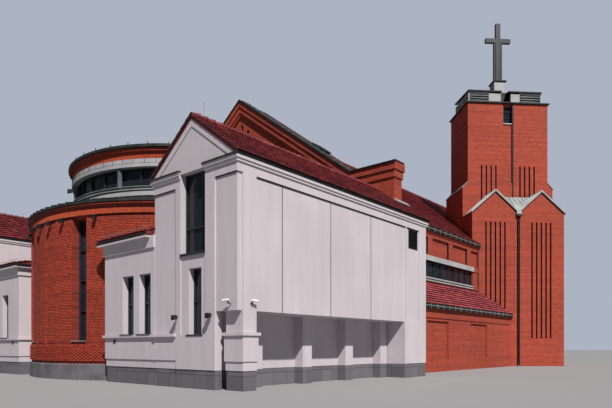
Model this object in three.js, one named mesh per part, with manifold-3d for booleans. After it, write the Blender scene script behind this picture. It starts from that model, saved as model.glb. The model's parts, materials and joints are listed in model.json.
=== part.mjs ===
import * as THREE from "three";
import { mergeVertices } from "three/addons/utils/BufferGeometryUtils.js";
import Module from "manifold-3d";

// A modern church: a round chancel between two rendered wings on the street, a long tiled nave with
// lean-to aisles behind it, and a brick tower turned 45 degrees at the south side.
// Every dimension is in metres of the real building. The model is half that size.
// x is the distance behind the street front, y the distance from the long axis, z the height.
const SCALE = 1 / 2;
const MM = 1000 * SCALE;

const SEAM = 0.0007; // clearance between two pieces that meet on a slope or on a curve
const SEAT = 0.001; // clearance under a roof that lies on the sloping top of a wall
const PITCH = 0.7373; // rise of the main roofs over their run
const FAR = 60; // longer than the building, for cutting planes
const glassThickness = 0.03;

const PLINTH_TOP = 0.75;
const PLINTH_SET_BACK = 0.03;
const BASE_STRIP_TOP = 1.1;
const BAND = { from: 2.08, to: 2.2, proud: 0.095 };

const ROTUNDA = {
  x: 8.65,
  sides: 72,
  wallR: 9.15,
  innerR: 8.6,
  wallTop: 8.55,
  eavesR: 9.38,
  eavesTop: 8.95,
  drumR: 6.85,
  drumInnerR: 6.45,
  sillTop: 10.27,
  lintelBottom: 11.26,
  crownTop: 12.38,
  roofTop: 13.15,
  sideClip: 9.0,
  endAngle: 131,
};
const SLOT_WINDOW = { angle: 17.1, width: 0.93, from: 1.93, to: 8.15 };

const WING = {
  outer: 14.3,
  inner: 9.04,
  length: 14.5,
  frontWall: 0.35,
  sideWall: 0.45,
  soffit: 3.02,
  floorTop: 3.32,
  panelTop: 8.15,
  eaves: 8.71,
  overhang: 0.1,
  verge: 0.04,
  roofThickness: 0.16,
};
const PASSAGE = { from: 1.0, to: 12.15, wallFace: 12.7, wallBack: 12.35, pilasterFace: 13.2 };

const ANNEX = { front: 0.05, inner: 4.94, eaves: 6.483, overhang: 0.27, pitch: 0.21, roofEnd: 6.6 };

const NAVE = {
  gableX: 13.43,
  start: 14.28,
  end: 48,
  wallOuter: 10.4,
  wallInner: 9.8,
  eaveEdge: 10.52,
  eaves: 10.258,
  roofThickness: 0.18,
  bay: 3.39,
};
const GABLE = { shoulder: 12.85, kneeY: 9.825, kneeZ: 12.3, apex: 19.54, roofEdge: 9.85, rise: 1.25, depth: 1.65 };
const STRIP = { from: 6.83, to: 7.95, sillBottom: 6.43, sillTop: 6.73, lintelTop: 8.32 };

const AISLE = { outer: 12.4, wall: 0.4, eaveEdge: 12.55, eaves: 4.3, roofThickness: 0.2, pitch: 0.864 };

const TOWER = {
  x: 33.84,
  y: -12.91,
  blockHalf: 4.1,
  blockDepth: 2.0,
  eaves: 13.2,
  gableTop: 15.05,
  bodyHalf: 4.175,
  backDepth: 6.3,
  shoulderLow: 15.9,
  shoulderHigh: 16.4,
  shaftHalf: 3.7,
  shaftTop: 23.5,
  wall: 0.5,
};

const wasm = await Module();
wasm.setup();

const BRICK = new THREE.MeshStandardMaterial({ color: 0xb5482a, roughness: 0.9 });
const RENDER = new THREE.MeshStandardMaterial({ color: 0xc9c3c6, roughness: 0.85 });
const TILE = new THREE.MeshStandardMaterial({ color: 0x6b2a28, roughness: 0.6 });
const SHEET_METAL = new THREE.MeshStandardMaterial({ color: 0x4a5150, roughness: 0.5, metalness: 0.6 });
const PALE_STONE = new THREE.MeshStandardMaterial({ color: 0xaeb0ae, roughness: 0.8 });
const GLASS = new THREE.MeshStandardMaterial({ color: 0x1b2024, roughness: 0.1 });
const CONCRETE = new THREE.MeshStandardMaterial({ color: 0x8c8c8a, roughness: 0.9 });
const DARK_STEEL = new THREE.MeshStandardMaterial({ color: 0x33383a, roughness: 0.5, metalness: 0.7 });

// A closed geometry in metres becomes a solid in millimetres; triangles that shrank to a line at a pole
// are left behind.
function solid(geometry) {
  geometry.deleteAttribute("normal");
  geometry.deleteAttribute("uv");
  geometry.scale(MM, MM, MM);
  const merged = mergeVertices(geometry, 1e-3);
  const source = merged.index.array;
  const kept = [];
  for (let i = 0; i < source.length; i += 3) {
    const [a, b, c] = source.slice(i, i + 3);
    if (a !== b && b !== c && a !== c) kept.push(a, b, c);
  }
  return new wasm.Manifold(
    new wasm.Mesh({
      numProp: 3,
      vertProperties: merged.attributes.position.array,
      triVerts: new Uint32Array(kept),
    }),
  );
}

function joined(...solids) {
  return solids.reduce((all, next) => all.add(next));
}

function box(x, y, z) {
  const size = [x, y, z].map(([low, high]) => high - low);
  const middle = [x, y, z].map(([low, high]) => (low + high) / 2);
  return solid(new THREE.BoxGeometry(...size).translate(...middle));
}

function extruded(points, depth) {
  const outline = new THREE.Shape(points.map(([s, t]) => new THREE.Vector2(s, t)));
  return new THREE.ExtrudeGeometry(outline, { depth, bevelEnabled: false });
}

// A cross-section in (y, z) that runs along x.
function alongX(points, from, to) {
  const turn = new THREE.Matrix4().makeBasis(
    new THREE.Vector3(0, 1, 0),
    new THREE.Vector3(0, 0, 1),
    new THREE.Vector3(1, 0, 0),
  );
  return solid(extruded(points, to - from).applyMatrix4(turn).translate(from, 0, 0));
}

// A cross-section in (x, z) that runs along y.
function alongY(points, from, to) {
  return solid(extruded(points, to - from).rotateX(Math.PI / 2).translate(0, to, 0));
}

// A plan outline in (x, y) raised along z.
function upright(points, from, to) {
  return solid(extruded(points, to - from).translate(0, 0, from));
}

// A closed section of radius and height, turned about the rotunda's centre line.
function ring(section) {
  const points = [...section, section[0]].map(([r, z]) => new THREE.Vector2(r, z));
  const turned = new THREE.LatheGeometry(points, ROTUNDA.sides);
  return solid(turned.rotateX(Math.PI / 2).translate(ROTUNDA.x, 0, 0));
}

const radians = THREE.MathUtils.degToRad;

// A box on a radius of the rotunda; the angle is counted from the street side.
function radialBox(angle, width, radii, z) {
  const block = new THREE.BoxGeometry(radii[1] - radii[0], width, z[1] - z[0]);
  block.translate(-(radii[0] + radii[1]) / 2, 0, (z[0] + z[1]) / 2);
  return solid(block.rotateZ(-radians(angle)).translate(ROTUNDA.x, 0, 0));
}

function radialPoint(angle, radius) {
  return [ROTUNDA.x - radius * Math.cos(radians(angle)), radius * Math.sin(radians(angle))];
}

// A wedge of the rotunda between two angles.
function sector(from, to) {
  const reach = 14;
  const middle = (from + to) / 2;
  const points = [[ROTUNDA.x, 0], radialPoint(from, reach), radialPoint(middle, reach), radialPoint(to, reach)];
  return upright(points.reverse(), -1, FAR);
}

function mesh(name, body, material) {
  const { vertProperties, triVerts } = body.getMesh();
  const geometry = new THREE.BufferGeometry();
  geometry.setAttribute("position", new THREE.BufferAttribute(vertProperties, 3));
  geometry.setIndex(new THREE.BufferAttribute(triVerts, 1));
  geometry.computeVertexNormals();
  const made = new THREE.Mesh(geometry, material);
  made.name = name;
  return made;
}

// A gable roof over a span about the line y = middle: its closed section.
function roofSection(middle, half, edge, thickness) {
  const rise = half * PITCH;
  return [
    [middle - half, edge],
    [middle, edge + rise],
    [middle + half, edge],
    [middle + half, edge + thickness],
    [middle, edge + thickness + rise],
    [middle - half, edge + thickness],
  ];
}

const wingMiddle = (WING.outer + WING.inner) / 2;
const wingHalf = (WING.outer - WING.inner) / 2 + WING.overhang;
const wingRoofUnder = (y) => WING.eaves + (wingHalf - Math.abs(y - wingMiddle)) * PITCH - SEAT;
const naveRoofUnder = (y) => NAVE.eaves + (NAVE.eaveEdge - Math.abs(y)) * PITCH - SEAT;

// The moulded eaves of the wings: a fascia over a narrow fillet.
function wingCornice(x, y, out) {
  const [lowX, lowY] = [x, y].map(([low]) => low);
  const [highX, highY] = [x, y].map(([, high]) => high);
  const fillet = (proud, from, to) =>
    box(
      [lowX - out.street * proud, highX],
      [lowY - out.axis * proud, highY + out.side * proud],
      [from, to],
    );
  return fillet(0.055, 8.5, 8.61).add(fillet(0.1, 8.61, WING.eaves));
}

function wingGableWall() {
  const { outer, inner, frontWall, soffit, panelTop, eaves } = WING;
  const wallEnd = outer - 1.26;
  const bay = [outer - 3.39, outer - 1.83];
  const lowWindow = [outer - 2.89, outer - 2.1];
  const pilasterEdge = outer - 3.72;
  const rebate = 0.06;
  const outline = [
    [inner, 0],
    [wallEnd, 0],
    [wallEnd, soffit],
    [outer, soffit],
    [outer, wingRoofUnder(outer)],
    [wingMiddle, wingRoofUnder(wingMiddle)],
    [inner, wingRoofUnder(inner)],
  ];
  const rakeDepth = 0.28;
  const rakeProud = 0.03;
  const rakeFoot = rakeDepth / PITCH;
  const rake = alongX(
    [
      [wingMiddle - wingHalf, eaves - SEAT],
      [wingMiddle - wingHalf + rakeFoot, eaves - SEAT],
      [wingMiddle, wingRoofUnder(wingMiddle) - rakeDepth],
      [wingMiddle + wingHalf - rakeFoot, eaves - SEAT],
      [wingMiddle + wingHalf, eaves - SEAT],
      [wingMiddle, wingRoofUnder(wingMiddle)],
    ],
    -rakeProud,
    0.05,
  );
  const capProud = 0.12;
  const returnEnds = [outer - 3.37, outer - 1.89];
  const returnCap = (from, to) => box([-capProud, 0.05], [from, to], [eaves - 0.02, eaves + 0.09]);
  const wall = joined(
    alongX(outline, 0, frontWall),
    rake,
    wingCornice([0, 0.05], [returnEnds[1], outer], { street: 1, axis: 0, side: 1 }),
    wingCornice([0, 0.05], [inner, returnEnds[0]], { street: 1, axis: 1, side: 0 }),
    wingCornice([0, frontWall], [outer - 0.05, outer], { street: 1, axis: 0, side: 1 }),
    wingCornice([0, frontWall], [inner, inner + 0.05], { street: 1, axis: 1, side: 0 }),
    returnCap(returnEnds[1], outer - 0.05),
    returnCap(inner + 0.05, returnEnds[0]),
    box([-BAND.proud, 0.05], [inner, pilasterEdge], [BAND.from, BAND.to]),
  );
  return wall
    .subtract(box([-1, rebate], [wallEnd, outer + 1], [soffit - 1, panelTop]))
    .subtract(box([-1, 0.3], [outer - rebate, outer + 1], [soffit - 1, panelTop]))
    .subtract(box([-1, rebate], [inner - 1, pilasterEdge], [BAND.to, panelTop]))
    .subtract(box([-1, 0.02], [inner - 1, pilasterEdge], [-1, BAND.from]))
    .subtract(box([-1, 0.06], [inner - 1, pilasterEdge], [-1, BASE_STRIP_TOP]))
    .subtract(box([-1, 0.08], [inner - 1, pilasterEdge], [-1, PLINTH_TOP]))
    .subtract(box([-1, PLINTH_SET_BACK], [inner - 1, outer + 1], [-1, PLINTH_TOP]))
    .subtract(box([-1, 1], bay, [5.41, 8.66]))
    .subtract(box([-1, 0.04], bay, [2.15, 5.33]))
    .subtract(box([-1, 1], lowWindow, [2.15, 4.8]));
}

// The long wall of the upper storey, with the floor that it carries over the passage.
function wingSideWall() {
  const { outer, sideWall, frontWall, length, soffit, floorTop, panelTop } = WING;
  const back = outer - sideWall;
  const section = [
    [back, soffit],
    [outer, soffit],
    [outer, wingRoofUnder(outer)],
    [back, wingRoofUnder(back)],
  ];
  const fieldDepth = 0.055;
  const jointDepth = 0.11;
  const jointWidth = 0.05;
  let wall = joined(
    alongX(section, frontWall, length),
    box([frontWall + 0.05, NAVE.gableX - 0.03], [WING.inner + sideWall, back + 0.05], [soffit, floorTop]),
    wingCornice([frontWall, length + 0.12], [outer - 0.05, outer], { street: 0, axis: 0, side: 1 }),
  );
  for (const field of [
    [PASSAGE.from, 12.25],
    [12.33, 13.69],
  ])
    wall = wall.subtract(box(field, [outer - fieldDepth, outer + 1], [soffit - 1, panelTop]));
  for (const x of [2.48, 5.67, 8.9])
    wall = wall.subtract(box([x, x + jointWidth], [outer - jointDepth, outer + 1], [soffit - 1, panelTop]));
  return wall.subtract(box([12.6, 13.6], [back - 1, outer + 1], [7.04, 8.1]));
}

function wingEndBlock() {
  const { outer, sideWall, length, soffit } = WING;
  const back = outer - sideWall;
  const eastWall = [
    [GABLE.shoulder + SEAM, 0],
    [back, 0],
    [back, wingRoofUnder(back)],
    [GABLE.shoulder + SEAM, wingRoofUnder(GABLE.shoulder)],
  ];
  return joined(
    box([PASSAGE.to, length], [back, outer], [0, soffit]),
    box([PASSAGE.to, PASSAGE.to + sideWall], [PASSAGE.wallFace, back], [0, soffit]),
    alongX(eastWall, length - sideWall, length),
  ).subtract(box([PASSAGE.to - 1, length + 1], [outer - PLINTH_SET_BACK, outer + 1], [-1, PLINTH_TOP]));
}

function wingPassageWall() {
  const pilasterHalf = 0.32;
  const { wallBack, wallFace, pilasterFace } = PASSAGE;
  const start = WING.frontWall + glassThickness + SEAM;
  const wall = box([start, NAVE.gableX - 0.03], [wallBack, wallFace], [0, WING.soffit]);
  return joined(
    wall,
    ...[2.1, 5.3, 8.55, 11.75].map((x) =>
      box([x - pilasterHalf, x + pilasterHalf], [wallFace - 0.05, pilasterFace], [0, WING.soffit]),
    ),
  );
}

function wingInnerWall() {
  const { inner, sideWall, frontWall } = WING;
  const section = [
    [inner, 0],
    [inner + sideWall, 0],
    [inner + sideWall, wingRoofUnder(inner + sideWall)],
    [inner, wingRoofUnder(inner)],
  ];
  return alongX(section, frontWall, NAVE.gableX - SEAM).add(
    wingCornice([frontWall, 5.2], [inner, inner + 0.05], { street: 0, axis: 1, side: 0 }),
  );
}

function wingCornerPier() {
  const [front, back] = [0.3, 1.0];
  const inner = WING.outer - 0.94;
  const layer = (proud, from, to) =>
    box([front - proud, back + proud], [inner - proud, WING.outer + proud], [from, to]);
  return joined(
    layer(0, BAND.to, WING.soffit),
    layer(0.12, BAND.from, BAND.to),
    layer(0.055, BASE_STRIP_TOP, BAND.from),
    layer(0.015, PLINTH_TOP, BASE_STRIP_TOP),
    layer(-0.01, 0, PLINTH_TOP),
  );
}

function wingRoof() {
  const whole = alongX(
    roofSection(wingMiddle, wingHalf, WING.eaves, WING.roofThickness),
    -WING.verge,
    WING.length + 0.18,
  );
  return whole
    .subtract(box([NAVE.gableX - SEAM, FAR], [0, GABLE.shoulder + SEAM], [0, FAR]))
    .subtract(box([5.2, FAR], [0, WING.inner], [0, FAR]));
}

function wingFrontGlass() {
  const { frontWall, outer } = WING;
  return box([frontWall, frontWall + glassThickness], [outer - 3.6, outer - 1.6], [1.95, 8.85]);
}

function wingSideGlass() {
  const back = WING.outer - WING.sideWall;
  return box([12.45, 13.75], [back - glassThickness, back], [6.9, 8.3]);
}

// The outline of the lower drum from its plinth to the top of its wall.
const drumOutline = [
  [9.25, 0],
  [9.25, 0.81],
  [ROTUNDA.wallR, 0.81],
  [ROTUNDA.wallR, 0.94],
  [9.21, 0.94],
  [9.21, 1.8],
  [ROTUNDA.wallR, 1.8],
  [ROTUNDA.wallR, 8.15],
  [9.1, 8.15],
  [9.1, 8.22],
  [9.17, 8.22],
  [9.17, ROTUNDA.wallTop],
];

function drumCutter() {
  const grown = drumOutline.map(([r, z], i) => [r + SEAM, i === 0 ? z - 1 : z]);
  return ring([[1, -1], ...grown, [1, ROTUNDA.wallTop]]);
}

// What the wings and the nave leave of the rotunda.
function clipped(body) {
  const { x, sideClip } = ROTUNDA;
  return body.intersect(box([x - 12, NAVE.gableX - SEAM], [-sideClip, sideClip], [-1, FAR]));
}

function rotundaWall(from, to) {
  const { innerR, wallTop, wallR } = ROTUNDA;
  const wall = ring([[innerR, 0], ...drumOutline, [innerR, wallTop]]);
  const ribs = [0, 7].map((angle) => radialBox(angle, 0.12, [wallR - 0.05, 9.23], [1.8, 8.15]));
  const { angle, width, from: low, to: high } = SLOT_WINDOW;
  return clipped(joined(wall, ...ribs))
    .subtract(radialBox(angle, width, [8, 10], [low, high]))
    .intersect(sector(from, to));
}

function rotundaSlotGlass() {
  const outer = ROTUNDA.innerR - SEAM;
  const pane = ring([
    [outer - glassThickness, 1.7],
    [outer, 1.7],
    [outer, 8.3],
    [outer - glassThickness, 8.3],
  ]);
  return pane.intersect(sector(-25, 25));
}

function rotundaRingRoof() {
  const { innerR, wallTop, eavesR, eavesTop, drumR } = ROTUNDA;
  const inside = drumR + SEAM;
  return clipped(
    ring([
      [innerR, wallTop],
      [9.2, wallTop],
      [9.2, 8.62],
      [9.27, 8.62],
      [9.27, 8.7],
      [9.33, 8.7],
      [9.33, 8.78],
      [eavesR, 8.78],
      [eavesR, eavesTop],
      [inside, 9.68],
      [inside, 9.3],
      [innerR, 8.75],
    ]),
  );
}

const columnAngles = [-105, -63, -21, 21, 63, 105];

function rotundaSill() {
  const { drumR, drumInnerR, sillTop, lintelBottom } = ROTUNDA;
  const base = ring([
    [drumInnerR, 9.2],
    [drumR, 9.2],
    [drumR, 9.74],
    [6.95, 9.74],
    [6.95, 10.0],
    [drumR, 10.0],
    [drumR, 10.06],
    [7.0, 10.06],
    [7.0, sillTop],
    [drumInnerR, sillTop],
  ]);
  const columns = columnAngles.map((angle) => {
    const height = lintelBottom - sillTop + 0.05;
    const column = new THREE.CylinderGeometry(0.17, 0.17, height, 12).rotateX(Math.PI / 2);
    const [px, py] = radialPoint(angle, 6.78);
    return solid(column.translate(px, py, lintelBottom - height / 2));
  });
  return clipped(joined(base, ...columns));
}

function rotundaClerestoryGlass() {
  const { sillTop, lintelBottom } = ROTUNDA;
  return clipped(
    ring([
      [6.52, sillTop],
      [6.56, sillTop],
      [6.56, lintelBottom],
      [6.52, lintelBottom],
    ]),
  );
}

function rotundaCrown() {
  const { drumInnerR, drumR, lintelBottom, crownTop } = ROTUNDA;
  return clipped(
    ring([
      [drumInnerR, lintelBottom],
      [6.97, lintelBottom],
      [6.97, 11.68],
      [drumR + 0.03, 11.68],
      [drumR + 0.03, 11.98],
      [6.96, 11.98],
      [6.96, 12.08],
      [7.06, 12.08],
      [7.06, 12.18],
      [7.18, 12.2],
      [7.18, crownTop],
      [drumInnerR, crownTop],
    ]),
  );
}

function rotundaRoof() {
  const { drumInnerR, crownTop, roofTop } = ROTUNDA;
  return clipped(
    ring([
      [0, roofTop - 0.15],
      [drumInnerR, crownTop],
      [7.1, crownTop],
      [7.1, crownTop + 0.05],
      [0, roofTop],
    ]),
  );
}

function annexFrontWall() {
  const { front, inner, eaves, overhang, pitch } = ANNEX;
  const outer = WING.inner;
  const back = front + WING.frontWall;
  const under = (x) => eaves + (x - front + overhang) * pitch - SEAT;
  const frontSection = [
    [front, 0],
    [back, 0],
    [back, under(back)],
    [front, under(front)],
  ];
  const returnEnd = 1.4;
  const returnSection = [
    [front, 0],
    [returnEnd, 0],
    [returnEnd, under(returnEnd)],
    [front, under(front)],
  ];
  const cornice = (proud, from, to) =>
    box([front - proud, returnEnd], [inner - proud, inner + 0.1], [from, to]).add(
      box([front - proud, back], [inner - proud, outer - SEAM], [from, to]),
    );
  const setBack = (depth, top) =>
    box([-1, front + depth], [0, FAR], [-1, top]).add(box([-1, FAR], [0, inner + depth], [-1, top]));
  return joined(
    alongY(frontSection, inner, outer),
    alongY(returnSection, inner, inner + WING.frontWall),
    cornice(0.07, 5.95, 6.4),
    cornice(overhang, 6.4, eaves),
    cornice(BAND.proud, BAND.from, BAND.to),
  )
    .subtract(setBack(0.045, BASE_STRIP_TOP))
    .subtract(setBack(0.075, PLINTH_TOP))
    .subtract(box([-1, 1], [WING.outer - 6.46, WING.outer - 5.57], [2.2, 4.87]))
    .subtract(box([-1, 1], [WING.outer - 7.81, WING.outer - 6.9], [2.2, 4.87]))
    .subtract(box([-1, 0], [outer - 0.26, outer + 1], [6.4, 7]))
    .subtract(drumCutter());
}

function annexRoof() {
  const { front, inner, eaves, overhang, pitch, roofEnd } = ANNEX;
  const thickness = 0.16;
  const low = front - overhang;
  const rise = (roofEnd - low) * pitch;
  const section = [
    [low, eaves],
    [roofEnd, eaves + rise],
    [roofEnd, eaves + rise + thickness],
    [low, eaves + thickness],
  ];
  const cornerNotch = box([-1, 0], [WING.inner - 0.23, FAR], [6.4, 7]);
  return alongY(section, inner - overhang, WING.inner - SEAM)
    .subtract(cornerNotch)
    .subtract(drumCutter());
}

function annexGlass() {
  const back = ANNEX.front + WING.frontWall;
  return box([back, back + glassThickness], [6.3, 8.9], [1.95, 5.1]);
}

// The outline of the street gable of the nave, its top lowered by a given height.
function gableOutline(half, drop) {
  const { kneeY, kneeZ, apex } = GABLE;
  return [
    [-half, 0],
    [half, 0],
    [half, kneeZ - drop],
    [kneeY, kneeZ - drop],
    [0, apex - drop],
    [-kneeY, kneeZ - drop],
    [-half, kneeZ - drop],
  ];
}

function naveWestGable() {
  const { gableX, start } = NAVE;
  const { shoulder } = GABLE;
  const course = (proud, from, to) =>
    alongX(gableOutline(shoulder + proud, from), gableX - proud, start + proud)
      .subtract(alongX(gableOutline(shoulder + 1, to), 0, FAR))
      .subtract(box([start, FAR], [-10.7, 10.7], [0, FAR]));
  const archHalf = 5;
  const archSpring = 4.5;
  const arch = new THREE.Shape();
  arch.moveTo(-archHalf, -1);
  arch.lineTo(archHalf, -1);
  arch.lineTo(archHalf, archSpring);
  arch.absellipse(0, archSpring, archHalf, 3.2, 0, Math.PI, false);
  const recess = [
    [-7.6, 12.9],
    [7.6, 12.9],
    [0, 18.45],
  ];
  let wall = joined(
    alongX(gableOutline(shoulder, 0), gableX, start),
    course(0.07, 0.44, 0.86),
    course(0.14, 0, 0.44),
  )
    .subtract(alongX(arch.getPoints(12).map(({ x, y }) => [x, y]), 10, 20))
    .subtract(alongX(recess, gableX - 1, gableX + 0.12));
  for (const [y, top] of [
    [-0.62, 17.3],
    [0, 17.8],
    [0.62, 17.3],
  ])
    wall = wall.subtract(box([gableX - 1, gableX + 0.4], [y - 0.13, y + 0.13], [15.2, top]));
  return wall;
}

function naveWestRoof() {
  const { start, roofThickness, eaveEdge, eaves } = NAVE;
  const top = (y) => eaves + roofThickness + (eaveEdge - y) * PITCH + SEAT;
  const edge = GABLE.roofEdge;
  const section = [
    [-edge, top(edge)],
    [0, top(0)],
    [edge, top(edge)],
    [edge, top(edge) + GABLE.rise],
    [0, top(0) + GABLE.rise],
    [-edge, top(edge) + GABLE.rise],
  ];
  return alongX(section, start, start + GABLE.depth);
}

function towerPrint() {
  const { blockHalf, blockDepth, bodyHalf, backDepth } = TOWER;
  const half = blockHalf + SEAM;
  const wide = bodyHalf + SEAM;
  const points = [
    [-half, -SEAM],
    [half, -SEAM],
    [half, blockDepth - SEAM],
    [wide, blockDepth - SEAM],
    [wide, backDepth + SEAM],
    [-wide, backDepth + SEAM],
    [-wide, blockDepth - SEAM],
    [-half, blockDepth - SEAM],
  ];
  const cut = extruded(points, FAR).translate(0, 0, -1);
  return solid(cut.rotateZ(-Math.PI / 4).translate(TOWER.x, TOWER.y, 0));
}

// One long wall of the nave on the side where y is positive.
function naveWall(from, to, strip) {
  const { wallOuter, wallInner, bay } = NAVE;
  const corbel = wallOuter + 0.1;
  const section = [
    [wallInner, 0],
    [wallOuter, 0],
    [wallOuter, 9.95],
    [wallOuter + 0.05, 9.95],
    [wallOuter + 0.05, 10.08],
    [corbel, 10.08],
    [corbel, naveRoofUnder(corbel)],
    [wallInner, naveRoofUnder(wallInner)],
  ];
  const band = (proud, low, high) => box([from, to], [wallOuter - 0.05, wallOuter + proud], [low, high]);
  let wall = joined(
    alongX(section, from, to),
    band(0.07, STRIP.sillBottom, STRIP.sillTop),
    band(0.05, STRIP.to, STRIP.lintelTop),
  );
  const panelWidth = 2.68;
  for (let x = 16.17; x < to; x += bay)
    if (x > from && x + panelWidth < to)
      wall = wall.subtract(box([x, x + panelWidth], [wallOuter - 0.14, wallOuter + 1], [8.4, 9.69]));
  return wall.subtract(box(strip, [wallInner - 1, wallOuter + 1], [STRIP.from, STRIP.to]));
}

function naveGlass(strip) {
  const { wallInner } = NAVE;
  const lap = 0.15;
  return box(
    [strip[0] - lap, strip[1] + lap],
    [wallInner - glassThickness, wallInner],
    [STRIP.from - lap, STRIP.to + lap],
  );
}

function naveEastGable() {
  const { end, wallOuter } = NAVE;
  const thickness = 0.6;
  const outline = [
    [-wallOuter, 0],
    [wallOuter, 0],
    [wallOuter, naveRoofUnder(wallOuter)],
    [0, naveRoofUnder(0)],
    [-wallOuter, naveRoofUnder(wallOuter)],
  ];
  let wall = alongX(outline, end - thickness, end);
  const portal = { half: 1.6, top: 3.6, depth: 0.35 };
  wall = wall.subtract(box([end - portal.depth, end + 1], [-portal.half, portal.half], [0.15, portal.top]));
  for (const y of [-1.6, -0.8, 0, 0.8, 1.6])
    wall = wall.subtract(box([end - 0.25, end + 1], [y - 0.15, y + 0.15], [5.6, 12.6]));
  return wall;
}

function naveRoof() {
  const { start, end, eaveEdge, eaves, roofThickness } = NAVE;
  return alongX(roofSection(0, eaveEdge, eaves, roofThickness), start + SEAM, end + 0.2).subtract(towerPrint());
}

function groundFloor() {
  const { x, innerR } = ROTUNDA;
  const { gableX, start, end, wallInner } = NAVE;
  const top = 0.15;
  const disk = ring([
    [0, 0],
    [innerR - SEAM, 0],
    [innerR - SEAM, top],
    [0, top],
  ]).intersect(box([x - 12, gableX - SEAM], [-12, 12], [-1, 1]));
  return joined(
    disk,
    box([gableX - 1, start + 1], [-5 + SEAM, 5 - SEAM], [0, top]),
    box([start + SEAM, end - 0.6 - SEAM], [-wallInner + SEAM, wallInner - SEAM], [0, top]),
  ).subtract(towerPrint());
}

const aisleRoofUnder = (y) => AISLE.eaves + (AISLE.eaveEdge - y) * AISLE.pitch - SEAT;

function aisleWall(from, to, closed) {
  const { outer, wall } = AISLE;
  const section = (near, far) => [
    [near, 0],
    [far, 0],
    [far, aisleRoofUnder(far)],
    [near, aisleRoofUnder(near)],
  ];
  let body = alongX(section(outer - wall, outer), from, to);
  if (closed) body = body.add(alongX(section(NAVE.wallOuter, outer), to - wall, to));
  const string = box([from, to], [outer - 0.05, outer + 0.06], [3.58, 3.68]);
  body = body.add(string).add(box([from, to], [outer - 0.05, outer + 0.04], [0, PLINTH_TOP]));
  const niche = 3.1;
  for (let x = 18.3; x + niche < to; x += 2 * NAVE.bay)
    body = body.subtract(box([x, x + niche], [outer - 0.12, outer + 1], [0.9, 3.4]));
  return body;
}

function aisleRoof(from, to) {
  const { eaveEdge, eaves, roofThickness, pitch } = AISLE;
  const inner = NAVE.wallOuter + SEAM;
  const rise = (eaveEdge - inner) * pitch;
  const section = [
    [eaveEdge, eaves],
    [eaveEdge, eaves + roofThickness],
    [inner, eaves + roofThickness + rise],
    [inner, eaves + rise],
  ];
  return alongX(section, from, to);
}

// The tower's own frame: x along its front, y back from the front, with the front face at y = 0.
const gableCentres = [-TOWER.blockHalf / 2, TOWER.blockHalf / 2];

function gabledTop(edge, rise) {
  const { blockHalf, eaves, gableTop } = TOWER;
  return [
    [blockHalf + edge, eaves + rise],
    [gableCentres[1], gableTop + rise],
    [0, eaves + rise],
    [gableCentres[0], gableTop + rise],
    [-blockHalf - edge, eaves + rise],
  ];
}

function towerFrontBlock() {
  const { blockHalf, blockDepth, wall } = TOWER;
  const outline = [[-blockHalf, 0], [blockHalf, 0], ...gabledTop(0, 0)];
  let block = alongY(outline, 0, blockDepth - SEAM).subtract(
    box([-blockHalf + wall, blockHalf - wall], [wall, blockDepth + 1], [-1, 12.9]),
  );
  const slot = { half: 0.075, pitch: 0.42, top: 12.4, bottom: 2.4, depth: 0.22 };
  for (const centre of gableCentres)
    for (let i = -2; i <= 2; i++) {
      const x = centre + i * slot.pitch;
      block = block.subtract(box([x - slot.half, x + slot.half], [-1, slot.depth], [slot.bottom, slot.top]));
    }
  return block.subtract(box([-0.14, 0.14], [-1, 0.16], [-1, 13.3]));
}

// Folded sheet metal over the twin gables, with the outlet box and the downpipe in the middle groove.
function towerValleyRoof() {
  const { blockDepth, eaves } = TOWER;
  const sheet = 0.1;
  const section = [...gabledTop(0.06, SEAT), ...gabledTop(0.06, sheet).reverse()];
  return joined(
    alongY(section, -0.07, blockDepth - SEAM),
    box([-0.22, 0.22], [-0.2, -SEAM], [eaves - 0.32, eaves + 0.1]),
    solid(
      new THREE.CylinderGeometry(0.06, 0.06, eaves - 0.1, 12)
        .rotateX(Math.PI / 2)
        .translate(0, -0.02, (eaves - 0.1) / 2 + 0.02),
    ),
  );
}

function towerBody() {
  const { bodyHalf, blockDepth, backDepth, shoulderLow, shoulderHigh, shaftHalf, wall } = TOWER;
  const outline = [
    [-bodyHalf, 0],
    [bodyHalf, 0],
    [bodyHalf, shoulderLow],
    [shaftHalf, shoulderHigh],
    [-shaftHalf, shoulderHigh],
    [-bodyHalf, shoulderLow],
  ];
  const hollow = box(
    [-shaftHalf + wall, shaftHalf - wall],
    [blockDepth + wall, backDepth - wall],
    [-1, FAR],
  );
  return shaftSlots(alongY(outline, blockDepth, backDepth).subtract(hollow));
}

function shaftSlots(body) {
  const { blockDepth } = TOWER;
  const slot = { half: 0.075, depth: 0.22, top: 17.9, bottom: 14.2 };
  let cut = body;
  for (const side of [-1, 1])
    for (let i = 0; i < 4; i++) {
      const x = side * (1.12 + i * 0.44);
      const y = [blockDepth - 1, blockDepth + slot.depth];
      cut = cut.subtract(box([x - slot.half, x + slot.half], y, [slot.bottom, slot.top]));
    }
  return cut;
}

function towerShaft() {
  const { shaftHalf, blockDepth, backDepth, shoulderHigh, shaftTop, wall } = TOWER;
  const whole = box([-shaftHalf, shaftHalf], [blockDepth, backDepth], [shoulderHigh, shaftTop]);
  const hollow = box(
    [-shaftHalf + wall, shaftHalf - wall],
    [blockDepth + wall, backDepth - wall],
    [0, FAR],
  );
  const channel = box([-0.46, 0.46], [0, blockDepth + 0.1], [0, FAR]);
  const window = box([-0.34, 0.34], [0, blockDepth + 1], [21.77, 23.3]);
  return shaftSlots(whole.subtract(hollow).subtract(channel).subtract(window));
}

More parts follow.
